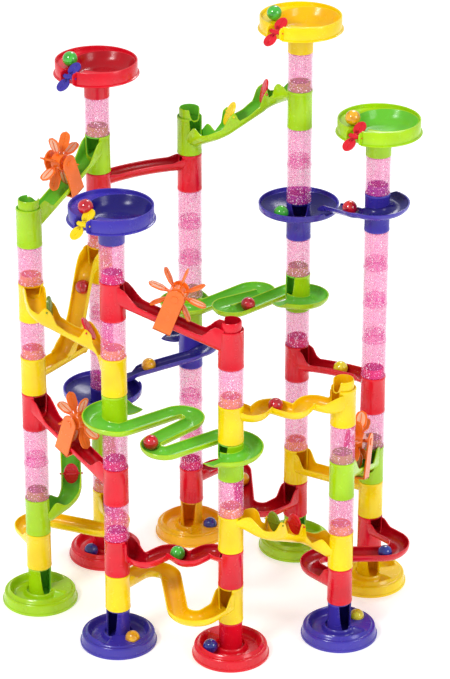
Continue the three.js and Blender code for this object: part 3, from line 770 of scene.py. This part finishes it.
# ---------------------------------------------------------------- funnels and their spinners
FUNNEL_R = 45
FUNNEL_LIP_R = 47
FUNNEL_NECK_H = 26
FUNNEL_TOP = 42
FUNNEL_SHELF = 38.4
FUNNEL_BED = 22.3
FUNNEL_HOLE_R = 10.2
BOWL_R = 33
BOWL_SHIFT = (8.5, 3)
GATE = math.radians(232)
GATE_W = 15
SPINNER_OUT = 45.5
NOTCH_R = 25.5  # at the gate the rim is drawn in to here, so that the spinner can turn
NOTCH_SHARE = 0.98
SPINNER_Z = 35
SPINNER_REACH = 20
SPINNER_TILT = math.radians(34)


def make_funnel(tower, level, slot):
    at = TOWERS[tower]
    z = level_z(level + 1)

    def bowl_edge(angle):
        """From the tower's axis to the edge of the offset bowl."""
        along = BOWL_SHIFT[0] * math.cos(angle) + BOWL_SHIFT[1] * math.sin(angle)
        off = BOWL_SHIFT[0] * math.sin(angle) - BOWL_SHIFT[1] * math.cos(angle)
        return along + math.sqrt(BOWL_R**2 - off**2)

    def profile(angle):
        edge = bowl_edge(angle)
        gate = 1 - smooth((angle_gap(angle, GATE) - math.radians(8.5)) / math.radians(2.2))
        bowl = []
        for i in range(13):
            s = i / 12
            r = FUNNEL_HOLE_R + (edge - FUNNEL_HOLE_R) * s**0.8
            bowl.append((r, z + FUNNEL_BED + 3.5 * s + 11.8 * s**5))
        wall = FUNNEL_R - 1.8
        shelf = z + FUNNEL_SHELF
        rim = [
            (edge + 0.5, shelf), (edge + 1, shelf + 0.5), (edge + 1.6, shelf + 0.2),
            ((edge + wall) / 2 + 0.8, shelf), (wall, shelf), (wall, z + FUNNEL_TOP - 0.6),
            (wall + 0.5, z + FUNNEL_TOP), (FUNNEL_R - 0.4, z + FUNNEL_TOP),
            (FUNNEL_R, z + FUNNEL_TOP - 0.6),
        ]
        low = z + FUNNEL_NECK_H + 3
        bowl = [(r, up if r < 24 else up + (min(up, low) - up) * gate) for r, up in bowl]
        rim = [(r, up + (low - up) * gate) for r, up in rim]
        lip = z + FUNNEL_NECK_H
        outside = [
            (FUNNEL_R, lip + 2), (FUNNEL_LIP_R - 0.3, lip + 1.4), (FUNNEL_LIP_R, lip + 0.6),
            (FUNNEL_LIP_R - 0.5, lip), (FUNNEL_R - 1, lip - 0.3), (30, lip - 5.2), (16.5, lip - 9.4),
            (TUBE_R, lip - 11), (TUBE_R, z + GAP), (BORE_R, z + GAP), (BORE_R, z + 10),
            (FUNNEL_HOLE_R, z + 10.4),
        ]
        notch = [(r - NOTCH_SHARE * (r - NOTCH_R) * gate, up) for r, up in rim + outside[:5]]
        return bowl + notch + outside[5:]

    shape = Shape()
    spread = [GATE + math.radians(d) for d in (-11, -10, -9.4, -8.8, 8.8, 9.4, 10, 11)]
    near, far = math.radians(8), math.radians(12)
    plain = [a for a in ring_angles(count=120) if not near <= angle_gap(a, GATE) <= far]
    angles = sorted(plain + [a % (2 * math.pi) for a in spread])
    shape.turned(profile, at, angles, paint=[SHADED_INSIDE] * 13 + [OUTSIDE] * 21)
    for side in (-1, 1):
        ear = Shape()
        rounded_plate(ear, 8, 14, 2)
        spot = Matrix.Translation((*polar(at, SPINNER_OUT, GATE), z + SPINNER_Z - 1))
        turn = Matrix.Rotation(GATE, 4, "Z") @ Matrix.Translation((0, side * (GATE_W + 2) / 2, 0))
        ear.moved(spot @ turn)
        merge(shape, ear)
    moulding(f"funnel_{tower.lower()}", shape, slot)


def merge(shape, other):
    first = len(shape.points)
    shape.points += other.points
    shape.faces += [tuple(first + i for i in face) for face in other.faces]
    shape.paint += other.paint


def rounded_plate(shape, wide, tall, thick):
    """An upright plate across Y with round corners, centred on the origin."""
    r = min(wide, tall) / 2 - 0.1
    outline = []
    for cx, cz, begin in ((1, 1, 0), (-1, 1, 90), (-1, -1, 180), (1, -1, 270)):
        for i in range(5):
            a = math.radians(begin + 22.5 * i)
            outline.append((cx * (wide / 2 - r) + r * math.cos(a), cz * (tall / 2 - r) + r * math.sin(a)))
    plate(shape, outline, thick, upright=True)


def plate(shape, outline, thick, paint=OUTSIDE, upright=False, soft=0.35):
    """A flat plate with softened edges. It lies in XY, or stands in XZ."""
    loops = []
    cx = sum(p[0] for p in outline) / len(outline)
    cy = sum(p[1] for p in outline) / len(outline)
    for level, shrink in ((-0.5, soft), (-0.5 + soft / thick, 0), (0.5 - soft / thick, 0), (0.5, soft)):
        loop = []
        for px, py in outline:
            far = math.hypot(px - cx, py - cy) or 1
            keep = max(0, 1 - shrink / far)
            a, b, c = cx + (px - cx) * keep, cy + (py - cy) * keep, level * thick
            loop.append((a, c, b) if upright else (a, b, c))
        loops.append(loop)
    shape.loft(loops, paint=paint)


ROD_SIDES = 18


def rod(shape, r, length):
    """A round bar along Y with softened ends."""
    loops = []
    for y, shrink in ((-0.5, 0.3), (-0.5 + 0.3 / length, 0), (0.5 - 0.3 / length, 0), (0.5, 0.3)):
        turns = [2 * math.pi * i / ROD_SIDES for i in range(ROD_SIDES)]
        loops.append([((r - shrink) * math.cos(a), y * length, (r - shrink) * math.sin(a)) for a in turns])
    shape.loft(loops)


OVAL_SIDES = 28


def oval(half_long, half_wide, at=0.0):
    turns = [2 * math.pi * i / OVAL_SIDES for i in range(OVAL_SIDES)]
    return [(at + half_long * math.cos(a), half_wide * math.sin(a)) for a in turns]


def placed(node, drop):
    at, turn = joint_place(node)
    return Matrix.Translation(at) @ Euler((0, drop, turn), "XYZ").to_matrix().to_4x4()


def make_spinner(tower, slot):
    node = f"spinner_{tower.lower()}"
    shape = Shape()
    long = (SPINNER_REACH - 3) / 2
    for side in (-1, 1):
        plate(shape, oval(long, 7, side * (SPINNER_REACH - long)), 2)
        rib = Shape()
        plate(rib, oval(long * 0.7, 0.8, side * (SPINNER_REACH - long)), 3)
        merge(shape, rib)
    plate(shape, [(-8, -2.5), (8, -2.5), (8, 2.5), (-8, 2.5)], 2)
    rod(shape, 2.5, 12)
    rod(shape, 1, GATE_W + 5)
    shape.moved(placed(node, SPINNER_TILT))
    moulding(node, shape, slot, body=node)


FUNNELS = [
    ("B", 10, "blue", "yellow"), ("C", 12, "red", "blue"),
    ("F", 13, "yellow", "red"), ("G", 11, "green", "red"),
]
for tower, level, slot, spinner_slot in FUNNELS:
    make_funnel(tower, level, slot)
    make_spinner(tower, spinner_slot)


# ---------------------------------------------------------------- paddle chutes
WHEEL_LIFT = 42
WHEEL_R = 33
HUB_R = 9
BLADES = 8
BRACKET_IN = 12
PLATE_T = 2
PLATE_HALF = 10
PADDLE_ENDS = (19, 14)


def make_paddle_chute(upper, lower, slot):
    a, b = upper.at, lower.at
    length = distance(a, b)
    rims = collars(length, PADDLE_ENDS, short=0, out=12, fall=20)
    walk = make_chute("paddle_chute", upper, lower, straight_points(a, b), PADDLE_ENDS, slot, rims)
    pair = pair_of(upper, lower)
    high, low = walk.at(0)[2], walk.at(1)[2]
    drop = math.atan2(high - low, length)
    make_wheel(pair, drop)
    make_bracket(pair, drop)


def blade_outline():
    """A paddle from the hub out: a stem that swells into a rounded scoop."""
    upper = []
    for i in range(15):
        s = i / 14
        x = 7 + (WHEEL_R - 7) * s
        swell = 2 + 4.6 * smooth((s - 0.12) / 0.34)
        end = math.sqrt(max(0, 1 - max(0, (s - 0.72) / 0.28) ** 2))
        upper.append((x, max(0.05, swell * end)))
    return upper + [(x, -y) for x, y in reversed(upper)]


def make_wheel(pair, drop):
    node = f"paddle_wheel_{pair}"
    shape = Shape()
    for i in range(BLADES):
        blade = Shape()
        plate(blade, blade_outline(), 1.6)
        plate(blade, oval(8.6, 4.9, 22.8), 2.0, paint=OUTSIDE if i % 2 else ACCENT)
        plate(blade, oval(9, 0.5, 21.5), 3.2)
        blade.moved(Matrix.Rotation(2 * math.pi * i / BLADES, 4, "Y"))
        merge(shape, blade)
    hub_profile = [
        (2.4, -6), (HUB_R - 0.8, -6), (HUB_R, -5.2), (HUB_R, 5.2), (HUB_R - 0.8, 6),
        (6, 6), (5.4, 5.2), (3.6, 5.2), (3, 6), (2.4, 6),
    ]
    hub = Shape()
    hub.loft(
        [[(r * math.cos(a), y, r * math.sin(a)) for r, y in hub_profile] for a in ring_angles(count=36)],
        around=True,
    )
    merge(shape, hub)
    shape.moved(placed(node, drop))
    materials = [*MATERIALS["orange"], MATERIALS["peach"][0]]
    piece(node + "_moulding", shape, materials, [node], body=node)


def make_bracket(pair, drop):
    wheel = f"paddle_wheel_{pair}"
    node = f"paddle_bracket_{pair}"
    under = WHEEL_LIFT * math.cos(drop) + 0.6 + PLATE_T
    outline = [(-PLATE_HALF, -under), (PLATE_HALF, -under)]
    for i in range(17):
        a = math.pi * i / 16
        outline.append((PLATE_HALF * math.cos(a), PLATE_HALF * math.sin(a)))
    shape = Shape()
    for side in (-1, 1):
        cheek = Shape()
        plate(cheek, outline, PLATE_T, upright=True)
        boss = Shape()
        rod(boss, 4, 1.2)
        boss.moved(Matrix.Translation((0, side * (PLATE_T / 2 + 0.3), 0)))
        merge(cheek, boss)
        cheek.moved(Matrix.Translation((0, side * (BRACKET_IN + PLATE_T / 2), 0)))
        merge(shape, cheek)
    strap = Shape()
    wide = BRACKET_IN + PLATE_T
    corners = [(-PLATE_HALF, -wide), (PLATE_HALF, -wide), (PLATE_HALF, wide), (-PLATE_HALF, wide)]
    plate(strap, corners, PLATE_T)
    strap.moved(Matrix.Translation((0, 0, -under + PLATE_T / 2)))
    merge(shape, strap)
    rod(shape, 1.8, 2 * wide)
    shape.moved(placed(wheel, drop))
    moulding(node, shape, "orange")


PADDLES = [
    (End("C", 11, clear=True), End("A", 10, open_top=True), "green"),
    (End("B", 9, clear=True), End("E", 8, open_top=True), "red"),
    (End("A", 5), End("B", 4, clear=True), "red"),
    (End("H", 4, clear=True), End("G", 3, clear=True), "green"),
]
for row in PADDLES:
    make_paddle_chute(*row)

# ---------------------------------------------------------------- flap chutes
SNAKE = {"out": 28.7, "r": 20, "degrees": 67.75, "side": -1}
SNAKE_ENDS = (35.7, 4.2)
SNAKE_LEVEL = 0.1  # share of the chute that runs level at each end
FLAP_L = 14
FLAP_W = 8.4
FLAP_T = 2.4
PIN_HALF = 13.2
# The rim's height at shares of the way along.
SNAKE_RIM = [
    (0, 13), (0.05, 13), (0.17, 23.5), (0.25, 14), (0.29, 15), (0.335, 26.5), (0.36, 25), (0.41, 13),
    (0.49, 11), (0.56, 12), (0.615, 26.2), (0.64, 25), (0.69, 13), (0.78, 11), (0.88, 23), (0.96, 13),
    (1, 13),
]


def make_flap(node, hang, slot):
    shape = Shape()
    plate(shape, oval(FLAP_L, FLAP_W), FLAP_T, soft=0.6)
    plate(shape, oval(9.5, 5.2), FLAP_T + 0.7, soft=0.5)
    rod(shape, 1, 2 * PIN_HALF)
    rod(shape, 2, 13)
    shape.moved(placed(node, math.radians(hang)))
    moulding(node, shape, slot, body=node)


def make_flap_chute(upper, lower, slot, flaps):
    points = curved_points(upper.at, lower.at, **SNAKE)
    high, low = upper.z + SNAKE_ENDS[0], lower.z + SNAKE_ENDS[1]

    def height(t):
        return high + (low - high) * min(1 - SNAKE_LEVEL, max(SNAKE_LEVEL, t))

    rim = profile_height(SNAKE_RIM)

    def rims(t):
        return (rim(t), rim(t))

    make_chute("flap_chute", upper, lower, finer(points), SNAKE_ENDS, slot, rims, height=height)
    pair = pair_of(upper, lower)
    for place, hang, colour in flaps:
        make_flap(f"flap_{pair}_{place}", hang, colour)


def finer(points):
    """The same walk with twice the stops, for a rim that rises and falls quickly."""
    made = [points[0]]
    for a, b in zip(points, points[1:]):
        made += [tuple((p + q) / 2 for p, q in zip(a, b)), b]
    return made


SNAKES = [
    (End("F", 12, clear=True), End("D", 11, open_top=True), "green", [(1, 75, "red"), (2, 65, "yellow")]),
    (End("A", 8, clear=True), End("B", 7, clear=True), "yellow", [(1, 85, "olive"), (2, 60, "red")]),
    (End("E", 3, clear=True), End("H", 2, clear=True), "yellow", [(1, 80, "olive"), (2, 80, "red")]),
    (End("C", 3), End("A", 2), "green", [(2, 100, "red")]),
]
for row in SNAKES:
    make_flap_chute(*row)

# ---------------------------------------------------------------- hooks and short chutes
HOOK = {"out": 38, "r": 19.5, "degrees": 135}
HOOKS = [
    (End("A", 1), End("C", 1, clear=True), "yellow"),
    (End("B", 1), End("E", 1), "yellow"),
    (End("D", 1), End("F", 1), "red"),
    (End("G", 1), End("H", 1), "red"),
]
hook_walks = []
for upper, lower, slot in HOOKS:
    points = finer(curved_points(upper.at, lower.at, **HOOK))
    hook_walks.append(make_chute("hook_chute", upper, lower, points, (20, 13), slot))

bridge_points = finer(bowed_points(TOWERS["C"], TOWERS["D"], 9))
make_chute("bridge_chute", End("C", 10), End("D", 10), bridge_points, (25, 24), "red")
wavy_low_points = wavy_points(TOWERS["E"], TOWERS["B"])
wavy_low = make_chute(
    "wavy_chute", End("E", 2), End("B", 2, clear=True), wavy_low_points, (29, 11), "red"
)
wavy_high_points = wavy_points(TOWERS["E"], TOWERS["H"])
open_h = End("H", 6, open_top=True)
wavy_high = make_chute(
    "wavy_chute", End("E", 6, clear=True), open_h, wavy_high_points, (24.6, 16.3), "yellow"
)
level_points = finer(straight_points(TOWERS["G"], TOWERS["F"]))
make_chute("straight_chute", End("G", 2), End("F", 2), level_points, (28, 11), "yellow")
bowed = finer(bowed_points(TOWERS["G"], TOWERS["F"], -6))
bowed_walk = make_chute("bowed_chute", End("G", 5), End("F", 5, clear=True), bowed, (31, 11), "red")

# ---------------------------------------------------------------- hairpin chutes
DOOR = math.radians(38)  # how far a walk goes round its tower before the inner wall stands up
SILL_RIM = 3
HAIRPIN_ENDS = (12, 24.5)
HAIRPIN_H = 10


def past_door(t, door):
    return smooth((t - door * 0.5) / (door * 0.6))


def make_hairpin(upper, lower):
    points = hairpin_points(upper.at, lower.at)
    length = Walk(points, 0, 1).length
    door = DOOR * RING_WALK_R / length

    def rims(t):
        """Beside each tower's window the wall next to the tower is left low."""
        share = past_door(t, door) * past_door(1 - t, door)
        low = SILL_RIM + (HAIRPIN_H - SILL_RIM) * share
        return (low, HAIRPIN_H) if t < 0.5 else (HAIRPIN_H, low)

    facing = math.radians(bearing(upper.at, lower.at))
    facings = (facing + math.radians(45), facing + math.radians(225))
    return make_chute(
        "hairpin_chute", upper, lower, points, HAIRPIN_ENDS, "green", rims, facings, full=True
    )


hairpin_walks = [make_hairpin(End("F", 7, clear=True), End("D", 6)), make_hairpin(End("B", 6), End("E", 5))]

# ---------------------------------------------------------------- twin dishes
TWIN_WALK_R = 24
TWIN_TURN = 225
TWIN_START = 26
TWIN_SETTLE = 5
TWIN_WINDOW = math.radians(139.4)
TWIN_RIM = 9
DISH_R = 45
DISH_BOTTOM = 26
DISH_RIM = 43
DISH_INLET = 39.5  # underside of the trough where it enters, and of the gap in the rim
WALL_DOWN_R = 37  # a trough wall is down by this distance from the dish's axis
NECK_IN = 9  # the trough runs on this far past the rim
NECK_FALL = 20
NECK_DROP = 4.5
LIP_H = 2


def make_twin(upper, lower):
    """A spiral round the upper tower that runs on into a wide dish round the lower one."""
    facing = bearing(upper.at, lower.at)
    start = polar(upper.at, TWIN_WALK_R, math.radians(facing - 45))
    moves = [("turn", TWIN_WALK_R, -TWIN_TURN), ("go", 6), ("turn", 20, -25), ("go", 75)]
    points = walk_from(start, facing - 135, moves)
    high, low = upper.z + TWIN_START, lower.z + DISH_INLET
    length = Walk(points, 0, 1).length
    curl = math.radians(TWIN_TURN) * TWIN_WALK_R / length

    def height(t):
        if t < curl:
            return high - TWIN_SETTLE * t / curl
        return high - TWIN_SETTLE + (low - high + TWIN_SETTLE) * (t - curl) / (1 - curl)

    walk = Walk(points, high, low, height)
    door = DOOR * TWIN_WALK_R / length

    def outside_dish(t, across):
        """1 where a wall is still outside the dish, falling to 0 where it has crossed the rim."""
        x, y, _, h = walk.at(t)
        far = distance((x - math.sin(h) * across, y + math.cos(h) * across), lower.at)
        return smooth((far - WALL_DOWN_R) / 5)

    def rims(t):
        left = LIP_H + (TWIN_RIM - LIP_H) * outside_dish(t, TROUGH_W)
        right = LIP_H + (TWIN_RIM - LIP_H) * outside_dish(t, -TROUGH_W)
        return (left, SILL_RIM + (right - SILL_RIM) * past_door(t, door))

    shape = Shape()
    meets = next(t for t in walk.times(0.5) if distance(walk.at(t)[:2], lower.at) < DISH_R - 3)
    end = min(1, meets + NECK_IN / length)
    fall = NECK_FALL / length

    def neck(t):
        """The walls run down towards the end of the trough, in the dish."""
        share = max(0, (t - end + fall) / fall)
        left, right = rims(t)
        drop = NECK_DROP * share**2
        return trough_section(max(LIP_H, left - drop), max(LIP_H, right - drop))

    shape.sweep(walk, neck, 0, end, TROUGH_PAINT)
    x, y, _, heading = walk.at(end)
    along, aside = (math.cos(heading), math.sin(heading)), (-math.sin(heading), math.cos(heading))
    z = lower.z

    def inlet(angle):
        """1 where the rim lies under the trough's floor, 0 elsewhere."""
        rim_x, rim_y = polar(lower.at, DISH_R, angle)
        centre = (lower.at[0] - rim_x) * along[0] + (lower.at[1] - rim_y) * along[1]
        across = (rim_x - x) * aside[0] + (rim_y - y) * aside[1]
        return smooth((TROUGH_W - 1.2 - abs(across)) / 2.5) if centre > 4 else 0

    def profile(angle):
        rim = DISH_RIM - (DISH_RIM - DISH_INLET - 0.1) * inlet(angle)
        wall = DISH_R - 1.7
        top = [(12.5, z + DISH_BOTTOM + 1.6), (20, z + 28.4), (28, z + 30.6), (36, z + 33.6), (41, z + 36)]
        side = [
            (wall - 0.4, z + 37.6), (wall, z + 38.2), (wall, z + rim - 0.5), (wall + 0.5, z + rim),
            (DISH_R - 0.5, z + rim), (DISH_R, z + rim - 0.5), (DISH_R, z + 37), (DISH_R - 1, z + 35.4),
        ]
        under = [(36, z + 31.8), (26, z + 28.4), (TUBE_R, z + DISH_BOTTOM), (12.5, z + DISH_BOTTOM)]
        return top + side + under

    shape.turned(profile, lower.at, ring_angles(count=96), paint=[SHADED_INSIDE] * 5 + [OUTSIDE] * 12)
    first = walk.at(0)[2] + WALL
    windows = (math.radians(facing - 45), math.radians(facing) + TWIN_WINDOW)
    chute_end(shape, upper, windows[0], first, floored=True)
    chute_end(shape, lower, windows[1], z + DISH_BOTTOM + WALL)
    node = f"twin_dish_{pair_of(upper, lower)}"
    moulding(node, shape, "blue")
    clear_tubes_over(node, upper, lower)
    return walk


twin_walks = [make_twin(End("G", 10, clear=True), End("F", 9)), make_twin(End("D", 5), End("C", 4))]

# ---------------------------------------------------------------- steep chute
# Distance out from the upper tower, underside above the upper tube's bottom, and wall height.
SLIDE = [(5, 20, 24), (14, 20, 24), (20, 16, 24), (56, -60, 22), (64, -70, 20), (78, -74, 14)]
LANDING_Z = 14
LANDING_LENGTH = 85


def make_steep(upper, lower):
    """A slide that ends over a level landing, which leads into the lower tower."""
    a, b = upper.at, lower.at
    facing = bearing(a, b)
    length = distance(a, b)
    h = math.radians(facing)
    base = lower.z + LANDING_Z

    def track(stops):
        return profile_height([(s / length, v) for s, v in stops])

    underside = track([(s, upper.z + z) for s, z, _ in SLIDE])
    rim = track([(s, tall) for s, _, tall in SLIDE])
    slide = Walk(walk_from(a, facing, [("go", length)], step=3), 0, 0, underside)
    shape = Shape()
    start, end = SLIDE[0][0] / length, SLIDE[-1][0] / length
    shape.sweep(slide, lambda t: trough_section(rim(t), rim(t)), start, end, TROUGH_PAINT)
    far = (b[0] - math.cos(h) * LANDING_LENGTH, b[1] - math.sin(h) * LANDING_LENGTH)
    landing = Walk(walk_from(far, facing, [("go", LANDING_LENGTH)]), base, base)
    landing_end = 1 - START_IN / LANDING_LENGTH
    shape.sweep(landing, lambda t: trough_section(TROUGH_H, TROUGH_H), 0, landing_end, TROUGH_PAINT)
    stop = Shape()
    rounded_plate(stop, 2 * TROUGH_W - 2, TROUGH_H - 1, 1.6)
    stop.moved(
        Matrix.Translation((far[0] + math.cos(h), far[1] + math.sin(h), base + TROUGH_H / 2 + 0.3))
        @ Matrix.Rotation(h + math.pi / 2, 4, "Z")
    )
    merge(shape, stop)
    chute_end(shape, upper, h, upper.z + 20 + WALL, floored=True)
    chute_end(shape, lower, h + math.pi, base + WALL)
    node = f"steep_chute_{pair_of(upper, lower)}"
    moulding(node, shape, "yellow")
    clear_tubes_over(node, upper, lower)
    return slide


steep_slide = make_steep(End("C", 8, clear=True), End("A", 6, clear=True))

# ---------------------------------------------------------------- clear columns
COLUMNS = [
    ("a", "A", 3, 2), ("c", "C", 5, 3), ("d_low", "D", 2, 3), ("d_high", "D", 7, 3),
    ("f_low", "F", 3, 2), ("f_high", "F", 10, 2), ("g", "G", 6, 4),
]
for name, tower, first, count in COLUMNS:
    clear_stack(f"clear_stack_{name}", tower, first, count, [f"clear_column_{name}"])


# ---------------------------------------------------------------- marbles at rest and on their way
def tray_marble(tower, facing, turn, colour):
    spot = polar(TOWERS[tower], TRAY_R, math.radians(facing - turn))
    marble(f"base_{tower.lower()}", (*spot, TRAY_Z + MARBLE_R + 0.3), colour)


for tower, facing, turn, colour in [
    ("B", -135, 274, "amber"), ("C", -60, 71, "blue"), ("D", -110, 276, "blue"), ("E", 60, 215, "blue"),
    ("H", -50, 276, "yellow"),
]:
    tray_marble(tower, facing, turn, colour)


def funnel_marble(tower, level, across, deep, colour):
    x, y = TOWERS[tower]
    centre = (x + across, y + deep, level_z(level + 1) + FUNNEL_SHELF + MARBLE_R + 0.2)
    marble(f"funnel_{tower.lower()}", centre, colour)


funnel_marble("C", 12, -27.5, -12, "green")
funnel_marble("B", 10, -25.5, -18, "red")
funnel_marble("F", 13, -29, -8, "green")
funnel_marble("G", 11, -29, -12, "amber")

# Where marbles run: the chute, the share of the way along it, and the marble's colour.
for name, walk, t, colour in [
    ("spiral_gf", twin_walks[0], 0.65, "red"), ("spiral_dc", twin_walks[1], 0.84, "amber"),
    ("hairpin_fd", hairpin_walks[0], 0.343, "red"), ("hairpin_be", hairpin_walks[1], 0.568, "red"),
    ("wavy_eb", wavy_low, 0.47, "green"), ("wavy_eh", wavy_high, 0.398, "red"),
    ("hook_df", hook_walks[2], 0.43, "amber"), ("hook_gh", hook_walks[3], 0.353, "blue"),
    ("bowed_gf", bowed_walk, 0.469, "yellow"), ("slide_ca", steep_slide, 0.263, "red"),
]:
    marble_on(name, walk, t, colour)
dish_x, dish_y = TOWERS["F"]
marble("dish_gf", (dish_x - 20, dish_y - 24, level_z(9) + 30.6 + MARBLE_R + 1), "green")

# ---------------------------------------------------------------- floor, light and camera
VIEW = Vector((20.35, 37.24, 300)) * MM
CAMERA_AT = Vector((20.35, -2941.8, 1715.5)) * MM
CAMERA_TILT = math.radians(64.58)
CAMERA_LENS = 157.1
SENSOR_WIDTH = 36
FLOOR_HALF = 30.0


def add_floor():
    mesh = bpy.data.meshes.new("floor")
    work = bmesh.new()
    bmesh.ops.create_grid(work, x_segments=4, y_segments=4, size=FLOOR_HALF)
    work.to_mesh(mesh)
    work.free()
    floor = bpy.data.objects.new("floor", mesh)
    bpy.context.scene.collection.objects.link(floor)
    material, tree, surface, coordinates = shader("pale_floor")
    grain = noise(tree, coordinates, 3)
    tone = ramp(tree, grain.outputs["Fac"], (0.86, 0.86, 0.86, 1), (0.9, 0.9, 0.9, 1))
    link(tree, tone.outputs["Color"], surface.inputs["Base Color"])
    surface.inputs["Roughness"].default_value = 0.6
    surface.inputs["Emission Color"].default_value = (1, 1, 1, 1)
    surface.inputs["Emission Strength"].default_value = 0.35
    mesh.materials.append(material)


def add_lamp(name, at, size, power):
    data = bpy.data.lights.new(name, "AREA")
    data.shape = "DISK"
    data.size = size
    data.energy = power
    lamp = bpy.data.objects.new(name, data)
    lamp.location = at
    lamp.rotation_euler = (VIEW - Vector(at)).to_track_quat("-Z", "Y").to_euler()
    bpy.context.scene.collection.objects.link(lamp)


def add_camera():
    data = bpy.data.cameras.new("camera")
    data.lens = CAMERA_LENS
    data.sensor_width = SENSOR_WIDTH
    camera = bpy.data.objects.new("camera", data)
    camera.location = CAMERA_AT
    camera.rotation_euler = (CAMERA_TILT, 0, 0)
    bpy.context.scene.collection.objects.link(camera)
    bpy.context.scene.camera = camera


add_floor()
add_lamp("key", (-1.6, -1.8, 2.6), 0.9, 48)
add_lamp("fill", (2.2, -1.4, 1.6), 1.2, 20)
add_lamp("back", (0.6, 2.2, 2.4), 1.0, 24)
world = bpy.data.worlds.new("studio")
world.use_nodes = True
world.node_tree.nodes["Background"].inputs["Color"].default_value = (1, 1, 1, 1)
world.node_tree.nodes["Background"].inputs["Strength"].default_value = 0.6
bpy.context.scene.world = world
bpy.context.scene.view_settings.view_transform = "Standard"
add_camera()
